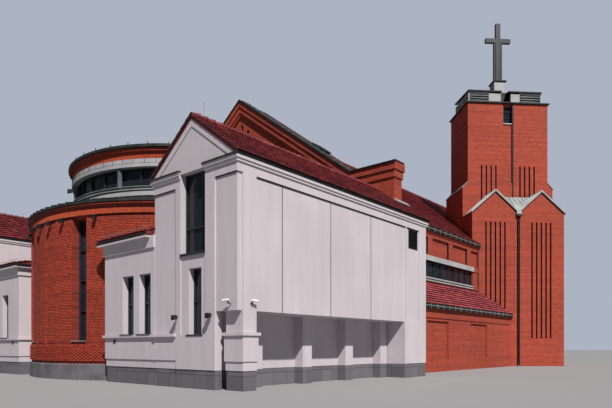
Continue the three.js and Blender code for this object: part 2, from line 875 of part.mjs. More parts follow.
function towerCrown() {
  const { shaftHalf, shaftTop, blockDepth, backDepth } = TOWER;
  const slab = box(
    [-shaftHalf - 0.12, shaftHalf + 0.12],
    [blockDepth - 0.12, backDepth + 0.12],
    [shaftTop, shaftTop + 0.2],
  );
  const louvreBox = (from, to) => box([from, to], [2.55, 5.75], [shaftTop + 0.1, 24.75]);
  const lid = (from, to) =>
    alongX(
      [
        [2.45, 24.7],
        [5.85, 24.95],
        [5.85, 25.07],
        [2.45, 24.82],
      ],
      from,
      to,
    );
  return joined(
    slab,
    louvreBox(-3.4, -0.36),
    louvreBox(0.36, 3.4),
    box([-0.5, 0.5], [3.0, 5.3], [shaftTop + 0.1, 25.0]),
    lid(-3.5, -0.3),
    lid(0.3, 3.5),
  );
}

function towerCross() {
  const centre = (TOWER.blockDepth + TOWER.backDepth) / 2;
  const bar = (half, depth, from, to) => box([-half, half], [centre - depth, centre + depth], [from, to]);
  return joined(
    bar(0.54, 0.5, 25.0, 26.3),
    bar(0.62, 0.58, 26.3, 26.4),
    bar(0.4, 0.14, 26.4, 30.1),
    bar(0.235, 0.14, 30.1, 31.9),
    bar(1.2, 0.14, 30.1, 30.5),
  );
}

// Both sides of the axis. The side with positive y is the north, and the south is its mirror image.
function side(name, sign) {
  const group = new THREE.Group();
  group.scale.set(1, sign, 1);
  const add = (part, body, material) => group.add(mesh(name + "_" + part, body, material));
  add("wing_gable_wall", wingGableWall(), RENDER);
  add("wing_side_wall", wingSideWall(), RENDER);
  add("wing_end_block", wingEndBlock(), RENDER);
  add("wing_passage_wall", wingPassageWall(), RENDER);
  add("wing_inner_wall", wingInnerWall(), RENDER);
  add("wing_corner_pier", wingCornerPier(), RENDER);
  add("wing_roof", wingRoof(), TILE);
  add("wing_front_glass", wingFrontGlass(), GLASS);
  add("wing_side_glass", wingSideGlass(), GLASS);
  add("annex_front_wall", annexFrontWall(), RENDER);
  add("annex_roof", annexRoof(), TILE);
  add("annex_glass", annexGlass(), GLASS);
  add("rotunda_front_wall", rotundaWall(0, 60), BRICK);
  add("rotunda_back_wall", rotundaWall(60, ROTUNDA.endAngle), BRICK);
  return group;
}

function towerGroup() {
  const group = new THREE.Group();
  group.position.set(TOWER.x * MM, TOWER.y * MM, 0);
  group.rotation.z = -Math.PI / 4;
  group.add(
    mesh("tower_front_block", towerFrontBlock(), BRICK),
    mesh("tower_valley_roof", towerValleyRoof(), SHEET_METAL),
    mesh("tower_body", towerBody(), BRICK),
    mesh("tower_shaft", towerShaft(), BRICK),
    mesh("tower_crown", towerCrown(), SHEET_METAL),
    mesh("tower_cross", towerCross(), DARK_STEEL),
  );
  return group;
}

function southNave() {
  const group = new THREE.Group();
  group.scale.set(1, -1, 1);
  const mirroredPrint = towerPrint().mirror([0, 1, 0]);
  const strip = [15.6, 30.13];
  group.add(
    mesh("nave_south_wall_west", naveWall(NAVE.start, 33, strip).subtract(mirroredPrint), BRICK),
    mesh("nave_south_glass", naveGlass(strip), GLASS),
    mesh("south_aisle_wall", aisleWall(NAVE.start + SEAM, 33.8, false).subtract(mirroredPrint), BRICK),
    mesh("south_aisle_roof", aisleRoof(NAVE.start + SEAM, 34.2).subtract(mirroredPrint), TILE),
  );
  return group;
}

const church = new THREE.Group();
church.position.x = -ROTUNDA.x * MM;
church.add(
  side("south", -1),
  side("north", 1),
  mesh("rotunda_ring_roof", rotundaRingRoof(), BRICK),
  mesh("rotunda_slot_glass", rotundaSlotGlass(), GLASS),
  mesh("rotunda_sill", rotundaSill(), PALE_STONE),
  mesh("rotunda_clerestory_glass", rotundaClerestoryGlass(), GLASS),
  mesh("rotunda_crown", rotundaCrown(), BRICK),
  mesh("rotunda_roof", rotundaRoof(), SHEET_METAL),
  mesh("ground_floor", groundFloor(), CONCRETE),
  mesh("nave_west_gable", naveWestGable(), BRICK),
  mesh("nave_west_roof", naveWestRoof(), TILE),
  mesh("nave_east_gable", naveEastGable(), BRICK),
  mesh("nave_roof", naveRoof(), TILE),
  towerGroup(),
  southNave(),
);

const northStrip = [15.6, 46.1];
const eastStrip = [41.0, 46.1];
const northEnd = NAVE.end - 0.6;
church.add(
  mesh("nave_north_wall", naveWall(NAVE.start, northEnd, northStrip), BRICK),
  mesh("nave_north_glass", naveGlass(northStrip), GLASS),
  mesh("north_aisle_wall", aisleWall(NAVE.start + SEAM, NAVE.end, true), BRICK),
  mesh("north_aisle_roof", aisleRoof(NAVE.start + SEAM, NAVE.end + 0.15), TILE),
);

const eastWall = new THREE.Group();
eastWall.scale.set(1, -1, 1);
const eastBody = naveWall(38, northEnd, eastStrip).subtract(towerPrint().mirror([0, 1, 0]));
eastWall.add(mesh("nave_south_wall_east", eastBody, BRICK), mesh("nave_east_glass", naveGlass(eastStrip), GLASS));
church.add(eastWall);

const model = new THREE.Group();
model.add(church);

export default model;
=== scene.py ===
# %% [markdown]
# # A modern church, dressed at half size
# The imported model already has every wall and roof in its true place. This lesson adds what a CAD solid
# leaves out: brick courses, roof tiles, gutters, window frames, sheet metal seams and the finishes.
# Everything is measured on the real building in metres, and shrunk to the half-size model at the end.

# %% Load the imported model
import json
import math

import bmesh
import bpy
from mathutils import Matrix, Vector


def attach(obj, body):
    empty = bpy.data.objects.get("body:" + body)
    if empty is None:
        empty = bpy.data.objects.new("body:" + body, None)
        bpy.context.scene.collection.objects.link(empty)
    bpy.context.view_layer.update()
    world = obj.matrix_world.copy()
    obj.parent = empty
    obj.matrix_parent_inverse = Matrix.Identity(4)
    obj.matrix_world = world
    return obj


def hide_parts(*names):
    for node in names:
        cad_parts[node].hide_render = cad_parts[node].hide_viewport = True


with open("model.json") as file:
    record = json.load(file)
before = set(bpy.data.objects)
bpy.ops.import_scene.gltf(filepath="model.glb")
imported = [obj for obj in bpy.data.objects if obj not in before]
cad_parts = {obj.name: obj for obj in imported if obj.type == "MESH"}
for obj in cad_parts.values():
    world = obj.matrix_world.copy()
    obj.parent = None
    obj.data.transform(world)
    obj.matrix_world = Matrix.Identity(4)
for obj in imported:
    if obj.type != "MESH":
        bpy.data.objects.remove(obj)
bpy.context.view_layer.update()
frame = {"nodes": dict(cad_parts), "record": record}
scene = bpy.context.scene

# %% [markdown]
# ## Where things are
# On the building, x runs back from the street front, y runs north from the long axis, and z is the height.
# One matrix takes those metres to the model, whose origin is at the centre of the round chancel.
# The tower stands at 45 degrees, so it has a frame of its own: x along its front, y back from that front.

# %% Matrices for the building and the tower
HALF_SIZE = 0.5
COURSE = 0.077
HEADER = 0.132
ROTUNDA_X = 8.65
to_model = Matrix.Scale(HALF_SIZE, 4) @ Matrix.Translation((-ROTUNDA_X, 0, 0))
TOWER = Matrix.Translation((33.84, -12.91, 0)) @ Matrix.Rotation(-math.pi / 4, 4, "Z")
SIDES = {"south": -1, "north": 1}

# %% [markdown]
# ## The camera
# A camera that is held level keeps upright walls upright. The shift then lifts the view to the tower, as a
# shift lens does, so the horizon stays low in the picture.

# %% Camera at eye height on the street corner
camera_data = bpy.data.cameras.new("street_corner")
camera_data.lens = 31.76
camera_data.shift_y = 0.2337
camera_data.clip_end = 400
camera = bpy.data.objects.new("street_corner", camera_data)
camera.location = (-11.055, -14.515, 0.825)
camera.rotation_euler = (math.radians(90), 0, math.radians(-49.7))
scene.collection.objects.link(camera)
scene.camera = camera
print("camera at", tuple(camera.location))

# %% [markdown]
# ## Small helpers
# Colours are picked on screen as sRGB values, but shaders count in linear light, so one function converts.
# One function adds a node to any tree. An input may be a plain value, a socket, or a whole node, whose
# first output is then meant.


# %% Colour and node helpers
def linear(colour):
    """A colour such as "#B8492B" in linear light."""
    parts = [int(colour[i : i + 2], 16) / 255 for i in (1, 3, 5)]
    return (*[c / 12.92 if c <= 0.04045 else ((c + 0.055) / 1.055) ** 2.4 for c in parts], 1.0)


def add(tree, kind, inputs=None, **settings):
    """Adds one node with its settings and its input values or links."""
    made = tree.nodes.new(kind)
    for name, value in settings.items():
        setattr(made, name, value)
    for name, value in (inputs or {}).items():
        source = value.outputs[0] if isinstance(value, bpy.types.Node) else value
        if isinstance(source, bpy.types.NodeSocket):
            tree.links.new(source, made.inputs[name])
        else:
            made.inputs[name].default_value = source
    return made


def new_finish(name, roughness, metallic=0.0, ior=1.5):
    """An empty material: its tree, and its shader with the even values set on the shader itself."""
    material = bpy.data.materials.new(name)
    material.use_nodes = True
    shader = material.node_tree.nodes["Principled BSDF"]
    shader.inputs["Roughness"].default_value = roughness
    shader.inputs["Metallic"].default_value = metallic
    shader.inputs["IOR"].default_value = ior
    return material, material.node_tree, shader


# %% [markdown]
# ## Facing brick
# The walls are of orange-red clay brick, 250 by 65 mm with 12 mm joints, raked a little back. Brick is
# matt and varies from one to the next, in bands where a batch ran out. Round the drum the bricks lie end-on,
# because short ends follow a curve better than long sides. The Brick Texture needs a flat pattern:
# how far along the wall, and how high. Along a flat wall that is the dot product of the position with
# "up cross normal", which works for a wall in any direction. Round the drum it is the angle times the
# radius.


# %% Noise, relief and the way along a wall
def clouded(tree, place, dark, light, cloud, detail):
    """Noise that fades between two colours; the noise comes back too, for what drifts with it."""
    clouds = add(tree, "ShaderNodeTexNoise", {"Vector": place, "Scale": cloud, "Detail": detail})
    tone = add(tree, "ShaderNodeMapRange", {0: clouds, 1: 0.35, 2: 0.65, 3: 0.0, 4: 1.0})
    ends = {0: tone.outputs[0], 6: linear(dark), 7: linear(light)}
    return clouds, add(tree, "ShaderNodeMix", ends, data_type="RGBA").outputs[2]


def relief(tree, shader, place, scale, detail, strength, distance):
    """Fine noise that dents the surface; scale is spots to a metre."""
    grain = add(tree, "ShaderNodeTexNoise", {"Vector": place, "Scale": scale, "Detail": detail})
    bump = add(tree, "ShaderNodeBump", {"Strength": strength, "Distance": distance, "Height": grain})
    tree.links.new(bump.outputs[0], shader.inputs["Normal"])


def along_wall(tree, place):
    """How far a point lies along a straight wall, whichever way the wall faces."""
    normal = add(tree, "ShaderNodeNewGeometry").outputs["True Normal"]
    level = add(tree, "ShaderNodeVectorMath", {0: (0, 0, 1), 1: normal}, operation="CROSS_PRODUCT")
    unit = add(tree, "ShaderNodeVectorMath", {0: level}, operation="NORMALIZE")
    return add(tree, "ShaderNodeVectorMath", {0: place, 1: unit}, operation="DOT_PRODUCT").outputs["Value"]


# %% Facing brick for flat walls and for the drum
BRICK_PITCH = 0.262 * HALF_SIZE
HEADER_PITCH = HEADER * HALF_SIZE
COURSE_PITCH = COURSE * HALF_SIZE
DRUM_RADIUS = 9.15 * HALF_SIZE


def facing_brick(name, on_drum, face="#AA432E", dark_face="#8D3422", joint="#5A2A1F"):
    """Brick with raked joints, in courses from several batches."""
    material, tree, shader = new_finish(name, roughness=0.86)
    place = add(tree, "ShaderNodeTexCoord").outputs["Object"]
    xyz = add(tree, "ShaderNodeSeparateXYZ", {0: place})
    if on_drum:
        back = add(tree, "ShaderNodeMath", {0: xyz.outputs[0], 1: -1.0}, operation="MULTIPLY")
        turn = add(tree, "ShaderNodeMath", {0: xyz.outputs[1], 1: back}, operation="ARCTAN2")
        along = add(tree, "ShaderNodeMath", {0: turn, 1: DRUM_RADIUS}, operation="MULTIPLY")
    else:
        along = along_wall(tree, place)
    flat = add(tree, "ShaderNodeCombineXYZ", {0: along, 1: xyz.outputs[2]})
    bricks = add(
        tree, "ShaderNodeTexBrick",
        {
            "Vector": flat, "Color1": linear(face), "Color2": linear(dark_face), "Mortar": linear(joint),
            "Scale": 1.0, "Mortar Size": 0.003, "Mortar Smooth": 0.2, "Bias": -0.2,
            "Brick Width": HEADER_PITCH if on_drum else BRICK_PITCH, "Row Height": COURSE_PITCH
        }
    )
    # Courses from different batches: noise that is stretched along the wall and changes every few courses.
    stretched = add(tree, "ShaderNodeMapping", {"Vector": flat, "Scale": (0.2, 9.0, 1.0)})
    batch = add(tree, "ShaderNodeTexNoise", {"Vector": stretched, "Scale": 1.0, "Detail": 1.5})
    band = add(tree, "ShaderNodeMapRange", {0: batch, 1: 0.3, 2: 0.7, 3: 0.84, 4: 1.14})
    weather = add(tree, "ShaderNodeTexNoise", {"Vector": place, "Scale": 0.45, "Detail": 4.0})
    patch = add(tree, "ShaderNodeMapRange", {0: weather, 1: 0.3, 2: 0.7, 3: 0.9, 4: 1.08})
    shade = add(tree, "ShaderNodeMath", {0: band.outputs[0], 1: patch.outputs[0]}, operation="MULTIPLY")
    clay = {0: bricks.outputs["Color"], "Scale": shade}
    tinted = add(tree, "ShaderNodeVectorMath", clay, operation="SCALE")
    tree.links.new(tinted.outputs[0], shader.inputs["Base Color"])
    # The bump sets the joints back by a few millimetres and gives the fired face a fine grain.
    grain = add(tree, "ShaderNodeTexNoise", {"Vector": place, "Scale": 260.0, "Detail": 2.0})
    raised = add(tree, "ShaderNodeMath", {0: bricks.outputs["Fac"], 1: -1.0}, operation="MULTIPLY")
    height = add(tree, "ShaderNodeMath", {0: grain, 1: 0.25, 2: raised}, operation="MULTIPLY_ADD")
    bump = add(tree, "ShaderNodeBump", {"Strength": 0.6, "Distance": 0.004, "Height": height})
    tree.links.new(bump.outputs[0], shader.inputs["Normal"])
    return material


wall_brick = facing_brick("facing_brick", on_drum=False)
drum_brick = facing_brick("facing_brick_round", True, face="#9A3322", dark_face="#6B2114", joint="#421C14")
header_brick = facing_brick("brick_headers", True, face="#B6442A", dark_face="#822B1A", joint="#64271A")
upright_brick = facing_brick("brick_uprights", True, face="#BA4C2C", dark_face="#9E3E24", joint="#8C3820")
print("brick module in the model:", BRICK_PITCH, COURSE_PITCH)

# %% [markdown]
# ## Mineral render and the stone plinth
# The wings are rendered smooth in a pale grey with a touch of lilac. Rain leaves the faintest marks. Below
# 0.75 m the wall is faced with mid-grey slabs, so the colour changes with the height of the point.

# %% Render with its plinth
PLINTH_TOP = 0.75 * HALF_SIZE
render_coat, tree, shader = new_finish("mineral_render", roughness=0.9)
place = add(tree, "ShaderNodeTexCoord").outputs["Object"]
xyz = add(tree, "ShaderNodeSeparateXYZ", {0: place})
broad = add(tree, "ShaderNodeTexNoise", {"Vector": place, "Scale": 0.8, "Detail": 5.0})
rain = add(tree, "ShaderNodeMapping", {"Vector": place, "Scale": (6.0, 6.0, 0.5)})
streak = add(tree, "ShaderNodeTexNoise", {"Vector": rain, "Scale": 1.0, "Detail": 3.0})
mottle = add(tree, "ShaderNodeMath", {0: broad, 1: streak}, operation="ADD")
tone = add(tree, "ShaderNodeMapRange", {0: mottle, 1: 0.7, 2: 1.3, 3: 0.0, 4: 1.0})
ends = {0: tone.outputs[0], 6: linear("#B8B0B5"), 7: linear("#C3BBC0")}
coat = add(tree, "ShaderNodeMix", ends, data_type="RGBA")
flat = add(tree, "ShaderNodeCombineXYZ", {0: along_wall(tree, place), 1: xyz.outputs[2]})
slabs = add(
    tree, "ShaderNodeTexBrick",
    {
        "Vector": flat, "Color1": linear("#6A666B"), "Color2": linear("#5C595E"),
        "Mortar": linear("#454348"), "Scale": 1.0, "Mortar Size": 0.007, "Brick Width": 0.42,
        "Row Height": 0.275
    },
    offset=0.0
)
below = add(tree, "ShaderNodeMath", {0: xyz.outputs[2], 1: PLINTH_TOP - 0.002}, operation="LESS_THAN")
layers = {0: below, 6: coat.outputs[2], 7: slabs.outputs["Color"]}
wall_colour = add(tree, "ShaderNodeMix", layers, data_type="RGBA")
tree.links.new(wall_colour.outputs[2], shader.inputs["Base Color"])
relief(tree, shader, place, scale=180.0, detail=3.0, strength=0.25, distance=0.002)  # fine trowel grain

# %% [markdown]
# ## Stone and concrete
# Cast bands and columns are pale grey and evenly matt. The drum stands on a ring of smooth grey stone, and
# the floor inside is plain concrete.


# %% Matt mineral finishes
def cast_stone(name, light, dark, cloud, grain):
    """A matt mineral with soft clouds; cloud and grain are spots to a metre."""
    material, tree, shader = new_finish(name, roughness=0.85)
    place = add(tree, "ShaderNodeTexCoord").outputs["Object"]
    colour = clouded(tree, place, dark, light, cloud, detail=5.0)[1]
    tree.links.new(colour, shader.inputs["Base Color"])
    relief(tree, shader, place, grain, detail=2.0, strength=0.3, distance=0.002)
    return material


pale_stone = cast_stone("pale_cast_stone", "#ABAAAC", "#959598", cloud=1.5, grain=200.0)
# The verge tiles get a near-black clay colour: painted shade for their shaded outer faces.
verge_clay_painted_shade = cast_stone("verge_tile_painted_shade", "#3E181A", "#2A0F11", cloud=6.0, grain=90.0)
column_paint = cast_stone("blue_grey_column_paint", "#59626A", "#4B545C", cloud=2.0, grain=220.0)
plinth_stone = cast_stone("grey_plinth_slab", "#6A666B", "#57545A", cloud=3.0, grain=160.0)
floor_concrete = cast_stone("floor_concrete", "#8F8E8B", "#7D7C7A", cloud=1.0, grain=120.0)

# %% [markdown]
# ## Clay roof tile
# The tiles are dark red with a thin engobe, a fired clay skin that gives a dull shine. Each tile carries a
# number called "tint" from the Geometry Nodes tree that lays it, and the material turns it into one of many
# close reds. Rain and soot darken the tiles in soft patches. A second number, "hollow", is 1 in the channels
# and 0 on the rolls: the material brightens the rolls as a painted highlight, and darkens the channels partly
# for dirt and partly as painted shade. A third, "upward", grows from 0 at the lower edge to 1 at the upper
# one, and the material darkens the strip just under the next tile's lip.

# %% Roof tile
roof_clay, tree, shader = new_finish("engobed_clay_tile", roughness=0.55)
place = add(tree, "ShaderNodeTexCoord").outputs["Object"]
tint = add(tree, "ShaderNodeAttribute", attribute_name="tint")
clay = add(tree, "ShaderNodeValToRGB", {0: tint.outputs["Fac"]})
clay.color_ramp.elements[0].color = linear("#561C20")
clay.color_ramp.elements[1].color = linear("#8A383C")
middle = clay.color_ramp.elements.new(0.55)
middle.color = linear("#6E262C")
soot = add(tree, "ShaderNodeTexNoise", {"Vector": place, "Scale": 0.7, "Detail": 4.0})
dulled = add(tree, "ShaderNodeMapRange", {0: soot, 1: 0.3, 2: 0.7, 3: 0.82, 4: 1.1})
hollow = add(tree, "ShaderNodeAttribute", attribute_name="hollow")
# Rolls brightened as a painted highlight; channels darkened partly for dirt and partly as painted shade.
wear_and_sheen = add(tree, "ShaderNodeMapRange", {0: hollow.outputs["Fac"], 3: 2.0, 4: 0.5})
upward = add(tree, "ShaderNodeAttribute", attribute_name="upward")
lapped = add(tree, "ShaderNodeMapRange", {0: upward.outputs["Fac"], 1: 0.64, 2: 0.84, 3: 1.0, 4: 0.4})
shade = add(tree, "ShaderNodeMath", {0: dulled.outputs[0], 1: wear_and_sheen.outputs[0]}, operation="MULTIPLY")
shade = add(tree, "ShaderNodeMath", {0: shade, 1: lapped.outputs[0]}, operation="MULTIPLY")
tinted = add(tree, "ShaderNodeVectorMath", {0: clay, "Scale": shade}, operation="SCALE")
tree.links.new(tinted.outputs[0], shader.inputs["Base Color"])
relief(tree, shader, place, scale=90.0, detail=2.0, strength=0.2, distance=0.002)

# %% [markdown]
# ## Metals, glass and small fittings
# Gutters and edges are coated steel, near black with a green cast. The tower's flashings are zinc, pale and
# slightly cloudy. Window frames are powder-coated aluminium. The glass shows what it mirrors over a
# near-black, slightly clouded base colour that paints the dim rooms behind it as painted shade. A coating
# hides the metal, so its metallic value stays low, and so does weathered zinc's, because a dull grey skin
# lies over the metal.


# %% Coated and weathered metals
def sheet(name, light, dark, roughness, metallic, cloud=4.0):
    """Sheet metal whose colour and shine drift a little from one sheet to the next."""
    material, tree, shader = new_finish(name, roughness, metallic)
    place = add(tree, "ShaderNodeTexCoord").outputs["Object"]
    clouds, colour = clouded(tree, place, dark, light, cloud, detail=4.0)
    tree.links.new(colour, shader.inputs["Base Color"])
    shine = {0: clouds, 1: 0.3, 2: 0.7, 3: roughness - 0.06, 4: roughness + 0.08}
    wear_and_sheen = add(tree, "ShaderNodeMapRange", shine)
    tree.links.new(wear_and_sheen.outputs[0], shader.inputs["Roughness"])
    relief(tree, shader, place, scale=7.0, detail=1.0, strength=0.15, distance=0.004)
    return material


dark_sheet = sheet("coated_steel_sheet", "#343B39", "#272D2B", roughness=0.45, metallic=0.3)
gutter_steel = sheet("coated_gutter_steel", "#1F2423", "#171B1A", roughness=0.45, metallic=0.3)
zinc = sheet("weathered_zinc", "#A9AFAE", "#8F9695", roughness=0.5, metallic=0.35, cloud=2.0)
frame_aluminium = sheet("coated_frame_aluminium", "#2A2F31", "#23282A", roughness=0.4, metallic=0.2)
cross_steel = sheet("painted_cross_steel", "#2A2C31", "#212327", roughness=0.5, metallic=0.2)
lamp_black = sheet("black_lamp_housing", "#1B1C1E", "#141517", roughness=0.5, metallic=0.0)
camera_white = sheet("white_camera_housing", "#E6E6E4", "#D8D8D6", roughness=0.4, metallic=0.0)
door_oak = sheet("stained_door_board", "#4A3326", "#38271D", roughness=0.55, metallic=0.0, cloud=9.0)

# %% Glass with the dim rooms behind it painted dark
glass_over_painted_dark_rooms, tree, shader = new_finish("glass_over_painted_dark_rooms", roughness=0.06, ior=1.52)
place = add(tree, "ShaderNodeTexCoord").outputs["Object"]
# A near-black base colour that drifts a little paints the dim rooms behind the glass: painted shade.
rooms = add(tree, "ShaderNodeTexNoise", {"Vector": place, "Scale": 1.3, "Detail": 1.0})
depths = {0: rooms, 6: linear("#10141A"), 7: linear("#2B323E")}
depth = add(tree, "ShaderNodeMix", depths, data_type="RGBA")
tree.links.new(depth.outputs[2], shader.inputs["Base Color"])
shader.inputs["Specular IOR Level"].default_value = 0.25
print(len(bpy.data.materials), "materials")

# %% [markdown]
# ## Finishes for the CAD pieces
# A CAD piece whose shape is right only needs a better material in its slot. The record says which finish
# each one has, and the round brick pieces take the drum's own pattern.

# %% Assign finishes to the CAD pieces
FINISH = {
    "brick": wall_brick, "render": render_coat, "tile": roof_clay, "sheet_metal": dark_sheet,
    "pale_stone": pale_stone, "glass": glass_over_painted_dark_rooms, "concrete": floor_concrete, "dark_steel": cross_steel
}
for part in frame["record"]["subparts"]:
    node = frame["nodes"][part["node"]]
    finish = FINISH[part["material_slot"]]
    if "rotunda" in part["node"] and finish is wall_brick:
        finish = drum_brick
    if part["node"] == "tower_valley_roof":
        finish = zinc
    node.material_slots[0].material = finish
print(len(frame["nodes"]), "CAD pieces finished")


# %% [markdown]
# ## Building shapes one by one
# Most trim is a box, a prism or a ring. Each helper adds a closed shape to a bmesh in metres of the building.
# When a piece is complete, its faces are turned outwards, its edges are eased with a small bevel, and the
# mesh is shrunk to the model. The object itself stays at the origin.


# %% Closed shapes
def block(bm, x, y, z, place=None):
    """A box from three (low, high) pairs."""
    corners = [bm.verts.new((px, py, pz)) for px in x for py in y for pz in z]
    for side in ((0, 1, 3, 2), (4, 6, 7, 5), (0, 4, 5, 1), (2, 3, 7, 6), (0, 2, 6, 4), (1, 5, 7, 3)):
        bm.faces.new([corners[i] for i in side])
    if place is not None:
        bmesh.ops.transform(bm, matrix=place, verts=corners)


def prism(bm, outline, along, place=None):
    """A flat outline of points, carried along a vector."""
    near = [bm.verts.new(point) for point in outline]
    far = [bm.verts.new(Vector(point) + Vector(along)) for point in outline]
    bm.faces.new(near)
    bm.faces.new(far[::-1])
    for i in range(len(near)):
        j = (i + 1) % len(near)
        bm.faces.new((near[i], near[j], far[j], far[i]))
    if place is not None:
        bmesh.ops.transform(bm, matrix=place, verts=near + far)


def tube(bm, path, radius, place=None, sides=12):
    """A round bar along straight stretches between points, with closed ends."""
    for start, end in zip(path, path[1:]):
        start, end = Vector(start), Vector(end)
        reach = end - start
        turn = reach.to_track_quat("Z", "Y").to_matrix().to_4x4()
        spot = Matrix.Translation((start + end) / 2) @ turn
        matrix = spot if place is None else place @ spot
        bmesh.ops.create_cone(
            bm, cap_ends=True, segments=sides, radius1=radius, radius2=radius, depth=reach.length,
            matrix=matrix
        )


def turned(bm, section, start=-180.0, end=180.0, step=1.25):
    """A closed section of (radius, height), carried round the rotunda's centre between two angles."""
    steps = round((end - start) / step)
    whole = end - start >= 360
    rings = []
    for i in range(steps if whole else steps + 1):
        angle = math.radians(start + (end - start) * i / steps)
        x, y = -math.cos(angle), math.sin(angle)
        rings.append([bm.verts.new((ROTUNDA_X + r * x, r * y, z)) for r, z in section])
    for i in range(steps):
        near, far = rings[i], rings[(i + 1) % len(rings)]
        for j in range(len(section)):
            k = (j + 1) % len(section)
            bm.faces.new((near[j], near[k], far[k], far[j]))
    if not whole:
        bm.faces.new(rings[0])
        bm.faces.new(rings[-1][::-1])


# %% Finishing a piece
def settle(name, mesh, material, replaced=()):
    """Makes the object, sets its finish, parents it to the root body and hides the CAD pieces it replaces."""
    mesh.materials.clear()
    mesh.materials.append(material)
    made = bpy.data.objects.new(name, mesh)
    scene.collection.objects.link(made)
    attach(made, "root")
    if replaced:
        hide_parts(*replaced)
    print(f"{name}: {len(mesh.polygons)} faces")


def piece(name, bm, material, slot, *replaced, bevel=0.0, smooth=False):
    """Turns a bmesh in metres of the building into a finished piece of the model."""
    bmesh.ops.recalc_face_normals(bm, faces=bm.faces)
    if bevel:
        bmesh.ops.bevel(bm, geom=bm.edges[:], offset=bevel, segments=1, affect="EDGES", clamp_overlap=True)
    mesh = bpy.data.meshes.new(name)
    bm.to_mesh(mesh)
    bm.free()
    mesh.transform(to_model)
    if smooth:
        mesh.shade_smooth()
        mesh.set_sharp_from_angle(angle=math.radians(30))
    settle(name, mesh, material, replaced)


# %% [markdown]
# ## Geometry Nodes for what repeats
# A tree gets its sizes as named inputs. A modifier finds an input by the socket's identifier, so one function
# looks that up, evaluates the object, and keeps only the plain mesh.


# %% Making and running a tree
def new_tree(name, **sockets):
    """An empty tree with a geometry input and output, and named inputs such as Radius="Float"."""
    tree = bpy.data.node_groups.new(name, "GeometryNodeTree")
    tree.interface.new_socket("Geometry", in_out="OUTPUT", socket_type="NodeSocketGeometry")
    tree.interface.new_socket("Geometry", in_out="INPUT", socket_type="NodeSocketGeometry")
    for label, kind in sockets.items():
        tree.interface.new_socket(label, in_out="INPUT", socket_type="NodeSocket" + kind)
    tree.interface.new_socket("Material", in_out="INPUT", socket_type="NodeSocketMaterial")
    return tree, add(tree, "NodeGroupInput").outputs


def close_tree(tree, given, geometry):
    """Every tree ends the same way: real meshes, one material, the output."""
    real = add(tree, "GeometryNodeRealizeInstances", {0: geometry})
    dressed = add(tree, "GeometryNodeSetMaterial", {"Geometry": real, "Material": given["Material"]})
    add(tree, "NodeGroupOutput", {0: dressed})


def grow(tree, name, material, slot, mesh=None, **values):
    """Runs a tree, in metres of the building, and keeps the result as a finished piece."""
    seed = bpy.data.objects.new(name + "_seed", mesh or bpy.data.meshes.new(name + "_seed"))
    scene.collection.objects.link(seed)
    modifier = seed.modifiers.new("grow", "NODES")
    modifier.node_group = tree
    values["Material"] = material
    for item in tree.interface.items_tree:
        if item.in_out == "INPUT" and item.name in values:
            modifier[item.identifier] = values[item.name]
    evaluated = seed.evaluated_get(bpy.context.evaluated_depsgraph_get())
    plain = bpy.data.meshes.new_from_object(evaluated)
    bpy.data.objects.remove(seed)
    plain.transform(to_model)
    settle(name, plain, material)


def lay_boxes(t, given, count, spot, euler):
    """A turned box at every point."""
    points = add(t, "GeometryNodePoints", {"Count": count, "Position": spot})
    turn = add(t, "FunctionNodeEulerToRotation", {0: euler})
    box = add(t, "GeometryNodeMeshCube", {"Size": given["Size"]}).outputs[0]
    copies = add(t, "GeometryNodeInstanceOnPoints", {"Points": points, "Instance": box, "Rotation": turn})
    close_tree(t, given, copies)


def lay_tinted(t, given, copies, low, high):
    """Each copy keeps a random number, which the roof tile's material reads as its tint."""
    chance = add(t, "FunctionNodeRandomValue", {2: low, 3: high, "Seed": given["Seed"]}, data_type="FLOAT")
    kept = {"Geometry": copies, "Name": "tint", "Value": chance.outputs[1]}
    close_tree(
        t, given, add(t, "GeometryNodeStoreNamedAttribute", kept, data_type="FLOAT", domain="INSTANCE")
    )


# %% [markdown]
# ### Rows round the drum
# Upright bricks, posts and roof seams all sit on circles about one centre. The tree numbers its points, turns
# each number into a column and a row, and each column into an angle. A stagger shifts every second row.

# %% Tree: rows round the drum
ring_tree, given = new_tree(
    "rows_round_the_drum", Radius="Float", Start="Float", Step="Float", Columns="Int", Rows="Int",
    Height="Float", RowStep="Float", Stagger="Float", Size="Vector", Lean="Float", Uneven="Float",
    Seed="Int"
)
t = ring_tree
count = add(t, "ShaderNodeMath", {0: given["Columns"], 1: given["Rows"]}, operation="MULTIPLY")
number = add(t, "GeometryNodeInputIndex")
column = add(t, "ShaderNodeMath", {0: number, 1: given["Columns"]}, operation="MODULO")
share = add(t, "ShaderNodeMath", {0: number, 1: given["Columns"]}, operation="DIVIDE")
row = add(t, "ShaderNodeMath", {0: share}, operation="FLOOR")
odd = add(t, "ShaderNodeMath", {0: row, 1: 2.0}, operation="MODULO")
evenly = {0: column, 1: given["Step"], 2: given["Start"]}
even_angle = add(t, "ShaderNodeMath", evenly, operation="MULTIPLY_ADD")
angle = add(t, "ShaderNodeMath", {0: odd, 1: given["Stagger"], 2: even_angle}, operation="MULTIPLY_ADD")
chance = add(t, "FunctionNodeRandomValue", {2: -1.0, 3: 1.0, "Seed": given["Seed"]}, data_type="FLOAT")
unevenly = {0: chance.outputs[1], 1: given["Uneven"], 2: given["Radius"]}
reach = add(t, "ShaderNodeMath", unevenly, operation="MULTIPLY_ADD")
cosine = add(t, "ShaderNodeMath", {0: angle}, operation="COSINE")
sine = add(t, "ShaderNodeMath", {0: angle}, operation="SINE")
inward = add(t, "ShaderNodeMath", {0: cosine, 1: reach}, operation="MULTIPLY")
px = add(t, "ShaderNodeMath", {0: ROTUNDA_X, 1: inward}, operation="SUBTRACT")
py = add(t, "ShaderNodeMath", {0: sine, 1: reach}, operation="MULTIPLY")
